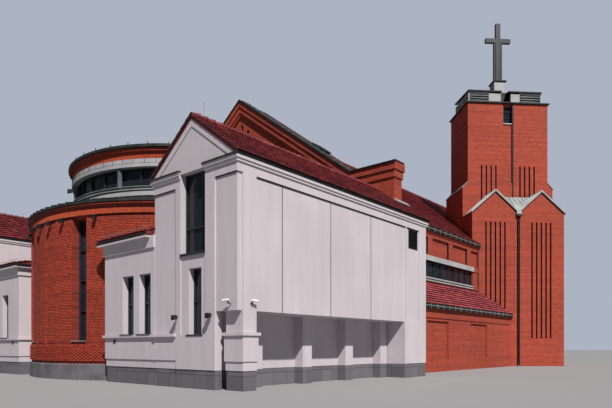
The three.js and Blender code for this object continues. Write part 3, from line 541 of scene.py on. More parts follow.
pz = add(t, "ShaderNodeMath", {0: row, 1: given["RowStep"], 2: given["Height"]}, operation="MULTIPLY_ADD")
spot = add(t, "ShaderNodeCombineXYZ", {0: px, 1: py, 2: pz})
back_turn = add(t, "ShaderNodeMath", {0: angle, 1: -1.0}, operation="MULTIPLY")
euler = add(t, "ShaderNodeCombineXYZ", {0: 0.0, 1: given["Lean"], 2: back_turn})
lay_boxes(t, given, count, spot, euler)

# %% [markdown]
# ### Straight rows
# Gutter straps, louvre slats, verge tiles, seams and the panes of slots repeat along a line. The same idea
# works with a step vector in place of an angle.

# %% Tree: straight rows
row_tree, given = new_tree(
    "straight_rows", Start="Vector", Step="Vector", Count="Int", Size="Vector", Turn="Vector"
)
t = row_tree
number = add(t, "GeometryNodeInputIndex")
over = add(t, "ShaderNodeVectorMath", {0: given["Step"], "Scale": number}, operation="SCALE")
spot = add(t, "ShaderNodeVectorMath", {0: given["Start"], 1: over}, operation="ADD")
lay_boxes(t, given, given["Count"], spot, given["Turn"])


def rows(name, material, slot, start, step, count, size, turn=(0, 0, 0), place=None):
    """A straight row of small boxes, in the building's or the tower's frame."""
    if place is not None:
        spin = place.to_3x3()
        start, step = place @ Vector(start), spin @ Vector(step)
        turn = (spin @ Matrix.Rotation(turn[1], 3, "Y") @ Matrix.Rotation(turn[0], 3, "X")).to_euler()
    values = {"Start": tuple(start), "Step": tuple(step), "Size": tuple(size), "Turn": tuple(turn)}
    grow(row_tree, name, material, slot, Count=count, **values)


# %% [markdown]
# ### Roof tiles
# The roofs carry tiles with two rolls, 280 mm wide, that show 300 mm each. The tree bends a small grid into
# one tile, gives its lower edge a lip, and lays copies on a grid of points. A ray from each point finds out
# whether the roof is below it, so any outline of roof can be tiled. Tiles are left out where the tower or the
# drum stands.

# %% Tree: roof tiles
TILE_WIDTH = 0.28
TILE_GAUGE = 0.3
tile_tree, given = new_tree(
    "roof_tiles", Columns="Int", Rows="Int", Origin="Vector", Turn="Vector", ClearCentre="Vector",
    ClearHalf="Vector", ClearTurn="Float", ClearRadius="Float", Seed="Int"
)
t = tile_tree
length = TILE_GAUGE * 1.12
grid_size = {"Size X": TILE_WIDTH, "Size Y": length, "Vertices X": 9, "Vertices Y": 2}
flat_tile = add(t, "GeometryNodeMeshGrid", grid_size)
spot = add(t, "GeometryNodeInputPosition")
xyz = add(t, "ShaderNodeSeparateXYZ", {0: spot})
phase = add(t, "ShaderNodeMath", {0: xyz.outputs[0], 1: 4 * math.pi / TILE_WIDTH}, operation="MULTIPLY")
wave = add(t, "ShaderNodeMath", {0: phase}, operation="SINE")
curve = add(t, "ShaderNodeMath", {0: wave, 1: 0.018, 2: 0.026}, operation="MULTIPLY_ADD")
tilt = add(t, "ShaderNodeMath", {0: xyz.outputs[1], 1: -0.05 / length, 2: curve}, operation="MULTIPLY_ADD")
rise = add(t, "ShaderNodeCombineXYZ", {2: tilt})
curved = add(t, "GeometryNodeSetPosition", {"Geometry": flat_tile.outputs[0], "Offset": rise})
front = add(t, "FunctionNodeCompare", {0: xyz.outputs[1], 1: -0.4 * length}, operation="LESS_THAN")
lip = {"Mesh": curved, "Selection": front, "Offset": (0, 0, -1), "Offset Scale": 0.045}
lipped = add(t, "GeometryNodeExtrudeMesh", lip, mode="EDGES")
channel = add(t, "ShaderNodeMapRange", {0: wave, 1: -0.8, 2: 0.8, 3: 1.0, 4: 0.0})
kept = {"Geometry": lipped.outputs["Mesh"], "Name": "hollow", "Value": channel.outputs[0]}
grooved = add(t, "GeometryNodeStoreNamedAttribute", kept, data_type="FLOAT", domain="FACE")
upward = add(t, "ShaderNodeMath", {0: xyz.outputs[1], 1: 1 / length, 2: 0.5}, operation="MULTIPLY_ADD")
kept = {"Geometry": grooved, "Name": "upward", "Value": upward}
tile = add(t, "GeometryNodeStoreNamedAttribute", kept, data_type="FLOAT", domain="POINT")

size_x = add(t, "ShaderNodeMath", {0: given["Columns"], 1: TILE_WIDTH}, operation="MULTIPLY")
size_y = add(t, "ShaderNodeMath", {0: given["Rows"], 1: TILE_GAUGE}, operation="MULTIPLY")
whole_x = add(t, "ShaderNodeMath", {0: size_x, 1: TILE_WIDTH}, operation="SUBTRACT")
whole_y = add(t, "ShaderNodeMath", {0: size_y, 1: TILE_GAUGE}, operation="SUBTRACT")
grid_size = {
    "Size X": whole_x, "Size Y": whole_y, "Vertices X": given["Columns"], "Vertices Y": given["Rows"]
}
grid = add(t, "GeometryNodeMeshGrid", grid_size).outputs[0]
turn = add(t, "FunctionNodeEulerToRotation", {0: given["Turn"]})
laid = add(t, "GeometryNodeTransform", {"Geometry": grid, "Translation": given["Origin"], "Rotation": turn})
above = add(t, "ShaderNodeVectorMath", {0: spot, 1: (0, 0, 0.4)}, operation="ADD")
down = {"Source Position": above, "Ray Direction": (0, 0, -1), "Ray Length": 1.0}
ray = add(t, "GeometryNodeRaycast", {"Target Geometry": given["Geometry"], **down})
missed = add(t, "FunctionNodeBooleanMath", {0: ray.outputs["Is Hit"]}, operation="NOT")
offset = add(t, "ShaderNodeVectorMath", {0: spot, 1: given["ClearCentre"]}, operation="SUBTRACT")
spun = {"Vector": offset, "Angle": given["ClearTurn"]}
unturned = add(t, "ShaderNodeVectorRotate", spun, rotation_type="Z_AXIS")
apart = add(t, "ShaderNodeVectorMath", {0: unturned}, operation="ABSOLUTE")
room = add(t, "ShaderNodeVectorMath", {0: given["ClearHalf"], 1: apart}, operation="SUBTRACT")
margins = add(t, "ShaderNodeSeparateXYZ", {0: room})
nearer = add(t, "ShaderNodeMath", {0: margins.outputs[0], 1: margins.outputs[1]}, operation="MINIMUM")
in_tower = add(t, "FunctionNodeCompare", {0: nearer, 1: 0.0}, operation="GREATER_THAN")
from_drum = add(t, "ShaderNodeVectorMath", {0: spot, 1: (ROTUNDA_X, 0, 0)}, operation="SUBTRACT")
flat_only = add(t, "ShaderNodeVectorMath", {0: from_drum, 1: (1, 1, 0)}, operation="MULTIPLY")
distance = add(t, "ShaderNodeVectorMath", {0: flat_only}, operation="LENGTH").outputs["Value"]
in_drum = add(t, "FunctionNodeCompare", {0: distance, 1: given["ClearRadius"]}, operation="LESS_THAN")
blocked = add(t, "FunctionNodeBooleanMath", {0: in_tower, 1: in_drum}, operation="OR")
dropped = add(t, "FunctionNodeBooleanMath", {0: missed, 1: blocked}, operation="OR")
kept = add(t, "GeometryNodeDeleteGeometry", {"Geometry": laid, "Selection": dropped}, domain="POINT")
copies = add(t, "GeometryNodeInstanceOnPoints", {"Points": kept, "Instance": tile, "Rotation": turn})
least, most = (-0.012, -0.012, -0.008), (0.012, 0.012, 0.008)
wobble = add(
    t, "FunctionNodeRandomValue", {0: least, 1: most, "Seed": given["Seed"]}, data_type="FLOAT_VECTOR"
)
wobble_turn = add(t, "FunctionNodeEulerToRotation", {0: wobble})
rocked = {"Instances": copies, "Rotation": wobble_turn, "Local Space": True}
lay_tinted(t, given, add(t, "GeometryNodeRotateInstances", rocked), low=0.0, high=1.0)


# %% Laying tiles on a slope
def tile_roof(name, outline, uphill, seed, clear_tower=False, clear_radius=0.0):
    """Tiles over a flat outline of points; uphill is the level direction in which the roof rises."""
    corners = [Vector(point) for point in outline]
    mesh = bpy.data.meshes.new(name + "_slope")
    mesh.from_pydata(corners, [], [range(len(corners))])
    level = Vector(uphill)
    normal = (corners[1] - corners[0]).cross(corners[2] - corners[1]).normalized()
    if normal.z < 0:
        normal = -normal
    up = (level - normal * level.dot(normal)).normalized()
    across = up.cross(normal)
    axes = Matrix((across, up, normal)).transposed()
    flat = [(corner.dot(across), corner.dot(up)) for corner in corners]
    low = [min(values) for values in zip(*flat)]
    high = [max(values) for values in zip(*flat)]
    columns = math.ceil((high[0] - low[0]) / TILE_WIDTH - 0.3)
    courses = math.ceil((high[1] - low[1]) / TILE_GAUGE - 0.3)
    centre = across * (low[0] + high[0]) / 2 + up * (low[1] + courses * TILE_GAUGE / 2)
    centre += normal * corners[0].dot(normal)
    tower_centre = TOWER @ Vector((0, 3.15, 0))
    grow(
        tile_tree, name, roof_clay, "tile", mesh=mesh, Columns=columns, Rows=courses, Origin=tuple(centre),
        Turn=tuple(axes.to_euler()), ClearCentre=tuple(tower_centre),
        ClearHalf=(4.2, 3.2, 1.0) if clear_tower else (0.0, 0.0, 0.0), ClearTurn=math.pi / 4,
        ClearRadius=clear_radius, Seed=seed
    )


# %% [markdown]
# ### Ridge tiles
# Half-round tiles close a ridge. Each one is a bent strip that rises a little towards one end, so that it
# laps over the next.

# %% Tree: ridge tiles
RIDGE_STEP = 0.38
ridge_tree, given = new_tree(
    "ridge_tiles", Start="Vector", Step="Vector", Count="Int", Turn="Float", Seed="Int"
)
t = ridge_tree
strip = add(t, "GeometryNodeMeshGrid", {"Size X": 0.42, "Size Y": 3.4, "Vertices X": 2, "Vertices Y": 8})
xyz = add(t, "ShaderNodeSeparateXYZ", {0: add(t, "GeometryNodeInputPosition")})
sine = add(t, "ShaderNodeMath", {0: xyz.outputs[1]}, operation="SINE")
cosine = add(t, "ShaderNodeMath", {0: xyz.outputs[1]}, operation="COSINE")
flare = add(t, "ShaderNodeMath", {0: xyz.outputs[0], 1: 0.15, 2: 0.12}, operation="MULTIPLY_ADD")
bent_y = add(t, "ShaderNodeMath", {0: sine, 1: flare}, operation="MULTIPLY")
bent_z = add(t, "ShaderNodeMath", {0: cosine, 1: flare}, operation="MULTIPLY")
bent = add(t, "ShaderNodeCombineXYZ", {0: xyz.outputs[0], 1: bent_y, 2: bent_z})
ridge_tile = add(t, "GeometryNodeSetPosition", {"Geometry": strip.outputs[0], "Position": bent})
path = {"Count": given["Count"], "Start Location": given["Start"], "Offset": given["Step"]}
line = add(t, "GeometryNodeMeshLine", path)
euler = add(t, "ShaderNodeCombineXYZ", {2: given["Turn"]})
turn = add(t, "FunctionNodeEulerToRotation", {0: euler})
# A middle "hollow" value gives the ridge tiles a milder painted highlight than the rolls.
kept = {"Geometry": ridge_tile, "Name": "hollow", "Value": 0.55}
dull = add(t, "GeometryNodeStoreNamedAttribute", kept, data_type="FLOAT", domain="FACE")
copies = add(t, "GeometryNodeInstanceOnPoints", {"Points": line, "Instance": dull, "Rotation": turn})
lay_tinted(t, given, copies, low=0.1, high=0.8)


def ridge(name, start, end, seed):
    """Ridge tiles from one point to another."""
    reach = Vector(end) - Vector(start)
    count = round(reach.length / RIDGE_STEP)
    step = reach / count
    first = Vector(start) + step / 2
    turn = math.atan2(reach.y, reach.x)
    ends = {"Start": tuple(first), "Step": tuple(step)}
    grow(ridge_tree, name, roof_clay, "tile", Count=count, Turn=turn, Seed=seed, **ends)


# %% [markdown]
# ## The drum wall
# The CAD drum has 72 flat sides. Turned in steps of 1.25 degrees it looks round from the pavement. The wall
# is built in arcs: solid between the tall slot windows, and only a sill and a head where a window stands.

# %% Drum wall in arcs
INNER_R = 8.6
WALL_R = 9.15
SLOT = (14.15, 20.05)
WINDOW_Z = (1.93, 8.15)
WALL_TOP = 8.55
DRUM_END = 131.0
WING_SIDE = 9.0
NAVE_FRONT = 13.42
foot_section = [(INNER_R, 0.81), (WALL_R, 0.81), (WALL_R, 0.94), (9.21, 0.94), (9.21, 1.8), (WALL_R, 1.8)]
GROOVE_R = 9.0
head_section = [(GROOVE_R, 8.15), (GROOVE_R, 8.25), (9.11, 8.25), (9.11, WALL_TOP), (INNER_R, WALL_TOP)]
full = [*foot_section, (WALL_R, 8.14), (GROOVE_R, 8.14), *head_section[1:]]
sill_part = [*foot_section, (WALL_R, WINDOW_Z[0]), (INNER_R, WINDOW_Z[0])]
head_part = [(INNER_R, WINDOW_Z[1]), *head_section]


def clip(bm, point, outward):
    """Cuts away what lies beyond a plane, and closes the cut."""
    everything = bm.verts[:] + bm.edges[:] + bm.faces[:]
    cut = bmesh.ops.bisect_plane(bm, geom=everything, plane_co=point, plane_no=outward, clear_outer=True)
    rim = [item for item in cut["geom_cut"] if isinstance(item, bmesh.types.BMEdge)]
    bmesh.ops.holes_fill(bm, edges=rim)


def clip_drum(bm):
    """What the wings and the nave leave of a ring."""
    clip(bm, (0, WING_SIDE, 0), (0, 1, 0))
    clip(bm, (0, -WING_SIDE, 0), (0, -1, 0))
    clip(bm, (NAVE_FRONT, 0, 0), (1, 0, 0))


def drum_frame(angle):
    """A frame at the rotunda's centre, turned so that -x looks out at an angle from the street."""
    return Matrix.Translation((ROTUNDA_X, 0, 0)) @ Matrix.Rotation(-math.radians(angle), 4, "Z")


def ring_piece(name, material, slot, *sections, replaced=(), reach=180.0):
    """Closed sections of (radius, height) round the drum, cut back to what the wings and the nave leave."""
    bm = bmesh.new()
    for section in sections:
        turned(bm, section, -reach, reach)
    clip_drum(bm)
    piece(name, bm, material, slot, *replaced, smooth=True)


bm = bmesh.new()
for start, end in ((-DRUM_END, -SLOT[1]), (-SLOT[0], SLOT[0]), (SLOT[1], DRUM_END)):
    turned(bm, full, start, end)
for sign in (-1, 1):
    start, end = sorted((sign * SLOT[0], sign * SLOT[1]))
    turned(bm, sill_part, start, end)
    turned(bm, head_part, start, end)
clip_drum(bm)
for angle in (0, 7, -7):
    block(bm, (-9.245, -9.1), (-0.06, 0.06), (1.8, 8.14), drum_frame(angle))
drum_nodes = [f"{side}_rotunda_{part}_wall" for side in SIDES for part in ("front", "back")]
piece("drum_wall", bm, drum_brick, "brick", *drum_nodes, smooth=True)

plinth = [(INNER_R, 0), (9.25, 0), (9.25, 0.76), (9.2, 0.81), (INNER_R, 0.81)]
ring_piece("drum_plinth", plinth_stone, "brick", plinth, reach=DRUM_END)

# %% [markdown]
# ## Brickwork on the drum
# The headers of the drum stand 24 mm forward of their raked joints, so each course throws a thin shadow
# line. The band above the plinth has headers that stick out in a lattice, and a course of upright bricks
# closes the wall under the eaves. All three are rows round the drum, so one helper turns sizes along the
# curve into angles.


# %% Courses, lattice and upright bricks
def drum_rows(name, material, slot, radius, span, pitch, size, height, seed, stagger=0.0, **more):
    """Rows of boxes between two angles in degrees; pitch and stagger are metres along the curve."""
    start, end = (math.radians(angle) for angle in span)
    columns = round((end - start) * radius / pitch)
    step = (end - start) / columns
    values = {"Rows": 1, "RowStep": 0.0, "Lean": 0.0, "Uneven": 0.004, **more}
    grow(
        ring_tree, name, material, slot, Radius=radius, Start=start + step / 2, Step=step, Columns=columns,
        Height=height, Stagger=step * stagger / pitch, Size=size, Seed=seed, **values
    )


COURSE_ANGLES = ((-62.0, -20.2), (-14.0, 14.0), (20.2, 62.0))
for number, span in enumerate(COURSE_ANGLES):
    drum_rows(
        f"drum_courses_{number + 1}", header_brick, "brick", radius=9.149, span=span, pitch=HEADER,
        size=(0.05, 0.11, 0.05), height=1.9, seed=20 + number, Rows=80, RowStep=COURSE
    )
drum_rows(
    "drum_base_lattice", header_brick, "brick", radius=9.215, span=(-36, 36), pitch=2 * HEADER,
    size=(0.06, 0.118, 0.06), height=0.985, seed=3, stagger=HEADER, Rows=11, RowStep=COURSE
)
drum_rows(
    "drum_upright_course", upright_brick, "brick", radius=9.17, span=(-78, 78), pitch=COURSE,
    size=(0.13, 0.05, 0.25), height=8.38, seed=4
)

# %% [markdown]
# ## Eaves and ring roof
# Three brick corbels step out under a dark folded edge. The shallow ring roof behind it is sheet steel with
# standing seams that run up to the upper drum.

# %% Corbels, ring roof and its seams
steps = [(9.2, WALL_TOP), (9.2, 8.62), (9.27, 8.62), (9.27, 8.7), (9.33, 8.7), (9.33, 8.78)]
corbels = [(INNER_R, WALL_TOP), *steps, (INNER_R, 8.78)]
ring_piece("drum_corbels", drum_brick, "brick", corbels, replaced=["rotunda_ring_roof"])
roof = [(INNER_R, 8.78), (9.38, 8.8), (9.38, 8.92), (6.852, 9.66), (6.852, 9.3)]
ring_piece("ring_roof_sheet", dark_sheet, "brick", roof)
drum_rows(
    "ring_roof_seams", dark_sheet, "brick", radius=8.115, span=(-75.6, 75.6),
    pitch=8.115 * math.radians(3.6), size=(2.6, 0.025, 0.05), height=9.325, seed=5, Uneven=0.0,
    Lean=-math.atan2(9.68 - 8.95, 9.38 - 6.85)
)

# %% [markdown]
# ## Upper drum
# A pale band and a sheet-metal sill carry a ring of dark glass with thin posts and six painted columns.
# Above it lie a lintel of pale blocks in two steps, upright bricks, corbels, and a dark coping with the
# shallow roof.

# %% Sill, columns, glazing posts and lintel
DRUM_R = 6.85
DRUM_INNER_R = 6.45
GLASS_Z = (10.27, 11.26)
band = [(DRUM_R, 9.74), (6.95, 9.74), (6.95, 9.97), (DRUM_R, 10.0), (DRUM_R, 10.04)]
sill = [(DRUM_INNER_R, 9.2), (DRUM_R, 9.2), *band, (DRUM_INNER_R, 10.04)]
ring_piece("upper_drum_sill", pale_stone, "pale_stone", sill, replaced=["rotunda_sill"])
sheeting = [(6.99, 10.07), (7.0, 10.2), (6.86, GLASS_Z[0])]
sheeting = [(DRUM_INNER_R, 10.07), *sheeting, (DRUM_INNER_R, GLASS_Z[0])]
ring_piece("upper_drum_sill_sheet", dark_sheet, "pale_stone", sheeting)
edges = [
    [(6.8, low), (7.01, low), (7.01, high), (6.8, high)] for low, high in ((10.03, 10.08), (10.2, 10.225))
]
edges.append([(6.84, 9.6), (6.93, 9.62), (6.93, 9.66), (6.84, 9.76)])
ring_piece("upper_drum_sill_edges", zinc, "sheet_metal", *edges)

bm = bmesh.new()
for angle in (-105, -63, -21, 21, 63, 105):
    radians = math.radians(angle)
    x, y = ROTUNDA_X - 6.78 * math.cos(radians), 6.78 * math.sin(radians)
    tube(bm, [(x, y, GLASS_Z[0] - 0.02), (x, y, GLASS_Z[1] + 0.02)], 0.13, sides=28)
    tube(bm, [(x, y, GLASS_Z[0] - 0.01), (x, y, GLASS_Z[0] + 0.05)], 0.15, sides=28)
piece("upper_drum_columns", bm, column_paint, "pale_stone", smooth=True)

steps = [(6.99, GLASS_Z[1]), (6.99, 11.44), (6.95, 11.46), (6.97, 11.48), (6.97, 11.68)]
lintel = [(DRUM_INNER_R, GLASS_Z[1]), *steps, (DRUM_INNER_R, 11.68)]
ring_piece("upper_drum_lintel", pale_stone, "pale_stone", lintel)
drum_rows(
    "lintel_joints", gutter_steel, "pale_stone", radius=6.945, span=(-126, 126), pitch=0.63,
    size=(0.09, 0.01, 0.2), height=11.58, seed=5, Uneven=0.0
)
drum_rows(
    "glazing_posts", frame_aluminium, "glass", radius=6.62, span=(-131.25, 131.25),
    pitch=6.62 * math.radians(10.5), size=(0.12, 0.06, 1.0), height=10.765, seed=6, Uneven=0.0
)
ends = ((GLASS_Z[0], 10.32), (11.21, GLASS_Z[1]))
rails = [[(6.58, low), (6.68, low), (6.68, high), (6.58, high)] for low, high in ends]
ring_piece("glazing_rails", frame_aluminium, "glass", *rails)

# %% Crown, coping and shallow roof
steps = [(6.82, 11.68), (6.82, 11.98), (6.96, 11.98), (6.96, 12.08), (7.06, 12.08), (7.06, 12.22)]
crown = [(DRUM_INNER_R, 11.68), *steps, (DRUM_INNER_R, 12.22)]
ring_piece("upper_drum_crown", drum_brick, "brick", crown, replaced=["rotunda_crown"])
drum_rows(
    "crown_upright_course", upright_brick, "brick", radius=6.87, span=(-130, 130), pitch=COURSE,
    size=(0.1, 0.05, 0.28), height=11.83, seed=7
)
bm = bmesh.new()
coping = [(7.06, 12.22), (7.16, 12.24), (7.18, 12.26), (7.18, 12.37), (7.12, 12.42)]
turned(bm, [(DRUM_INNER_R, 12.22), *coping, (0.0, 13.15), (0.0, 13.0), (DRUM_INNER_R, 12.36)])
bmesh.ops.remove_doubles(bm, verts=bm.verts, dist=1e-4)
clip_drum(bm)
piece("upper_drum_roof", bm, dark_sheet, "sheet_metal", "rotunda_roof", smooth=True)
drum_rows(
    "upper_roof_seams", dark_sheet, "sheet_metal", radius=4.1, span=(-129, 129),
    pitch=4.1 * math.radians(6), size=(5.9, 0.025, 0.05), height=12.745, seed=8, Uneven=0.0,
    Lean=-math.atan2(13.15 - 12.42, 7.12)
)
drum_rows(
    "crown_rod_holders", gutter_steel, "sheet_metal", radius=7.1, span=(-130.5, 130.5),
    pitch=7.1 * math.radians(9), size=(0.03, 0.03, 0.14), height=12.47, seed=9, Uneven=0.0
)

# %% [markdown]
# ## Slot windows of the drum
# Each slot is glazed with narrow panes in a dark frame. The frame is two uprights and a few rails, set back
# from the brick face, and a metal sill closes the bottom.


# %% Frames and sills of the slots
SLOT_ANGLE = sum(SLOT) / 2
frames = bmesh.new()
sills = bmesh.new()
for sign in (-1, 1):
    spin = drum_frame(sign * SLOT_ANGLE)
    for y in (-0.42, 0.42):
        block(frames, (-8.72, -8.6), (y - 0.045, y + 0.045), WINDOW_Z, spin)
    for z in (1.98, 3.5, 5.05, 6.6, 8.1):
        block(frames, (-8.7, -8.61), (-0.42, 0.42), (z - 0.035, z + 0.035), spin)
    block(sills, (-9.24, -8.6), (-0.46, 0.46), (1.93, 1.965), spin)
piece("drum_slot_frames", frames, frame_aluminium, "glass", bevel=0.006)
piece("drum_slot_sills", sills, zinc, "brick", bevel=0.006)


# %% [markdown]
# ## Lamps on the drum
# Six small dark floodlights hang under the eaves on short arms, four beside the ribs and one beyond each slot
# window, and one more hangs under the lintel of the upper drum. Each is a tapered housing, wider at the glass
# than at the back.


# %% Bracket lamps
def tapered(bm, near, far, place):
    """A box whose two end rectangles differ: each end is x, half width, low z, high z."""
    ring = []
    for x, half, low, high in (near, far):
        ring.append(
            [bm.verts.new((x, y, z)) for y, z in ((-half, low), (half, low), (half, high), (-half, high))]
        )
    bm.faces.new(ring[0])
    bm.faces.new(ring[1][::-1])
    for i in range(4):
        j = (i + 1) % 4
        bm.faces.new((ring[0][i], ring[0][j], ring[1][j], ring[1][i]))
    bmesh.ops.transform(bm, matrix=place, verts=ring[0] + ring[1])


bm = bmesh.new()
for angle in (-24.0, -10.5, -3.5, 3.5, 10.5, 24.0):
    spin = drum_frame(angle)
    tapered(bm, (-9.22, 0.055, 8.06, 8.26), (-9.46, 0.095, 7.94, 8.18), spin)
    block(bm, (-9.3, -9.12), (-0.02, 0.02), (8.14, 8.2), spin)
piece("drum_lamps", bm, lamp_black, "dark_steel", bevel=0.01)
bm = bmesh.new()
spin = drum_frame(21.0)
tapered(bm, (-6.99, 0.07, 10.88, 11.08), (-7.26, 0.11, 10.8, 11.04), spin)
block(bm, (-7.02, -6.88), (-0.03, 0.03), (10.9, 11.2), spin)
piece("upper_drum_lamp", bm, lamp_black, "dark_steel", bevel=0.01)


# %% [markdown]
# ## Window frames of the straight walls
# One helper fills an opening in a wall that faces x or y with a border, posts and rails. It works in the
# plane of the glass, and the bars stand a little in front of it.


# %% Bars in an opening
def bars(bm, facing, level, across, z, posts=(), rails=(), depth=0.07, width=0.06):
    """A border with posts and rails; level is where the bars start, and depth reaches to the outside."""
    reach = tuple(sorted((level, level + depth)))

    def bar(span, height):
        x, y = (reach, span) if facing == "x" else (span, reach)
        block(bm, x, y, height)

    low, high = across
    for spot in (low + width / 2, high - width / 2, *posts):
        bar((spot - width / 2, spot + width / 2), z)
    for spot in (z[0] + width / 2, z[1] - width / 2, *rails):
        bar((low, high), (spot - width / 2, spot + width / 2))


def mirrored(sign, near, far):
    """A range that is given for the positive side, on either side."""
    return tuple(sorted((sign * near, sign * far)))


# %% [markdown]
# ## The two wings
# Each wing gets frames in its openings, a louvre near its end, dark ledges under the windows, sheet metal on
# the returns of the gable, and black strips of painted shade in the joints of the render and under its frieze
# edges.

# %% Wing windows
OUTER = 14.3
INNER = 9.04
WING_GLASS_X = 0.35
ANNEX_GLASS_X = 0.4
LOUVRE_TILT = 0.6
for side, sign in SIDES.items():
    bm = bmesh.new()
    bars(
        bm, "x", WING_GLASS_X, mirrored(sign, OUTER - 3.39, OUTER - 1.83), (5.41, 8.66), rails=(6.45,),
        depth=-0.08
    )
    bars(
        bm, "x", WING_GLASS_X, mirrored(sign, OUTER - 2.89, OUTER - 2.1), (2.15, 4.8), rails=(3.5,),
        depth=-0.07
    )
    for near, far in ((OUTER - 6.46, OUTER - 5.57), (OUTER - 7.81, OUTER - 6.9)):
        bars(bm, "x", ANNEX_GLASS_X, mirrored(sign, near, far), (2.2, 4.87), rails=(3.6,), depth=-0.07)
    bars(bm, "y", sign * 14.16, (12.6, 13.6), (7.04, 8.1), depth=sign * 0.1)
    piece(f"{side}_wing_window_frames", bm, frame_aluminium, "glass", bevel=0.006)
    # A black board behind the slats stands for the shade inside the opening: painted shade.
    back = bmesh.new()
    block(back, (12.62, 13.58), mirrored(sign, 14.13, 14.16), (7.06, 8.08))
    piece(f"{side}_wing_louvre_back", back, lamp_black, "glass", bevel=0.004)
    rows(
        f"{side}_wing_louvre", gutter_steel, "glass", start=(13.1, sign * 14.2, 7.16), step=(0, 0, 0.11),
        count=8, size=(0.9, 0.09, 0.02), turn=(-sign * LOUVRE_TILT, 0, 0)
    )

# %% Wing ledges, sills and caps
for side, sign in SIDES.items():
    dark = bmesh.new()
    block(dark, (-0.05, 0.36), mirrored(sign, OUTER - 3.4, OUTER - 1.82), (5.33, 5.41))
    block(dark, (-0.03, 0.36), mirrored(sign, OUTER - 3.02, OUTER - 1.98), (2.09, 2.15))
    for near, far in ((OUTER - 6.54, OUTER - 5.49), (OUTER - 7.89, OUTER - 6.82)):
        block(dark, (-0.08, 0.41), mirrored(sign, near, far), (2.195, 2.225))
    block(dark, (0.02, 0.1), mirrored(sign, 5.7, 5.9), (1.83, 1.99))
    for near, far in ((OUTER - 1.9, OUTER + 0.1), (INNER - 0.1, OUTER - 3.36)):
        block(dark, (-0.14, 0.05), mirrored(sign, near, far), (8.72, 8.802))
    piece(f"{side}_wing_sills_and_caps", dark, dark_sheet, "sheet_metal", bevel=0.008)
    # Black strips paint the shade under the frieze edges and in the upright joints of the render.
    gaps = bmesh.new()
    for low, high in ((1.0, 12.25), (12.33, 13.69)):
        block(gaps, (low, high), mirrored(sign, OUTER - 0.06, OUTER - 0.02), (8.1, 8.149))
    for low in (2.48, 5.67, 8.9):
        block(gaps, (low + 0.002, low + 0.048), mirrored(sign, OUTER - 0.11, OUTER - 0.066), (3.03, 8.14))
    block(gaps, (0.02, 0.062), mirrored(sign, OUTER - 1.26, OUTER - 0.062), (8.11, 8.149))
    block(gaps, (0.02, 0.062), mirrored(sign, INNER + 0.002, OUTER - 3.722), (8.11, 8.149))
    piece(f"{side}_wing_painted_shade_strips", gaps, lamp_black, "render", bevel=0.002)

# %% [markdown]
# The wings hide their gutter behind a dark fascia under the edge tiles. The annexes have one too, with a rail
# above it that holds the snow back.


# %% Fascias and snow rails
WING_MIDDLE = (OUTER + INNER) / 2
WING_HALF = (OUTER - INNER) / 2 + 0.1
PITCH = 0.7373
WING_EAVE = 8.87
ANNEX_PITCH = 0.21
AISLE_PITCH = 0.864


def wing_height(y):
    """The top of the wing roof at a distance from the long axis, on either slope."""
    return WING_EAVE + (WING_HALF - abs(y - WING_MIDDLE)) * PITCH


for side, sign in SIDES.items():
    bm = bmesh.new()
    block(bm, (-0.14, 14.7), mirrored(sign, OUTER + 0.07, OUTER + 0.115), (8.72, 8.86))
    block(bm, (-0.14, 5.2), mirrored(sign, INNER - 0.115, INNER - 0.07), (8.72, 8.86))
    block(bm, (-0.24, -0.19), mirrored(sign, 4.66, INNER - 0.23), (6.51, 6.62))
    block(bm, (-0.22, 0.6), mirrored(sign, 4.6, 4.66), (6.51, 6.64))
    piece(f"{side}_fascias", bm, gutter_steel, "sheet_metal", bevel=0.01)
    rail = bmesh.new()
    tube(rail, [(-0.12, sign * 4.7, 6.88), (-0.12, sign * 8.78, 6.88)], 0.012, sides=8)
    for i in range(14):
        y = sign * (4.8 + 0.3 * i)
        tube(rail, [(-0.05, y, 6.66), (-0.12, y, 6.88)], 0.008, sides=8)
    piece(f"{side}_snow_rail", rail, zinc, "sheet_metal")

# %% [markdown]
# Each gable ends in verge tiles, clay boxes that lap like the tiles beside them and drop over the edge. A row
# of small bars, each turned to the slope, draws them. Their near-black clay colour is painted shade.

# %% Verge tiles
slope_angle = math.atan(PITCH)
for side, sign in SIDES.items():
    for name, x in (("street", -0.05), ("back", 14.7)):
        for part, way in (("inner", -1), ("outer", 1)):
            run = WING_HALF / 9
            start_y = WING_MIDDLE + way * run / 2
            rows(
                f"{side}_{name}_{part}_verge", verge_clay_painted_shade, "tile",
                start=(x, sign * start_y, 8.89 + (WING_HALF - run / 2) * PITCH),
                step=(0, sign * way * run, -run * PITCH), count=9, size=(0.08, 0.41, 0.1),
                turn=(-sign * way * (slope_angle - 0.07), 0, 0)
            )

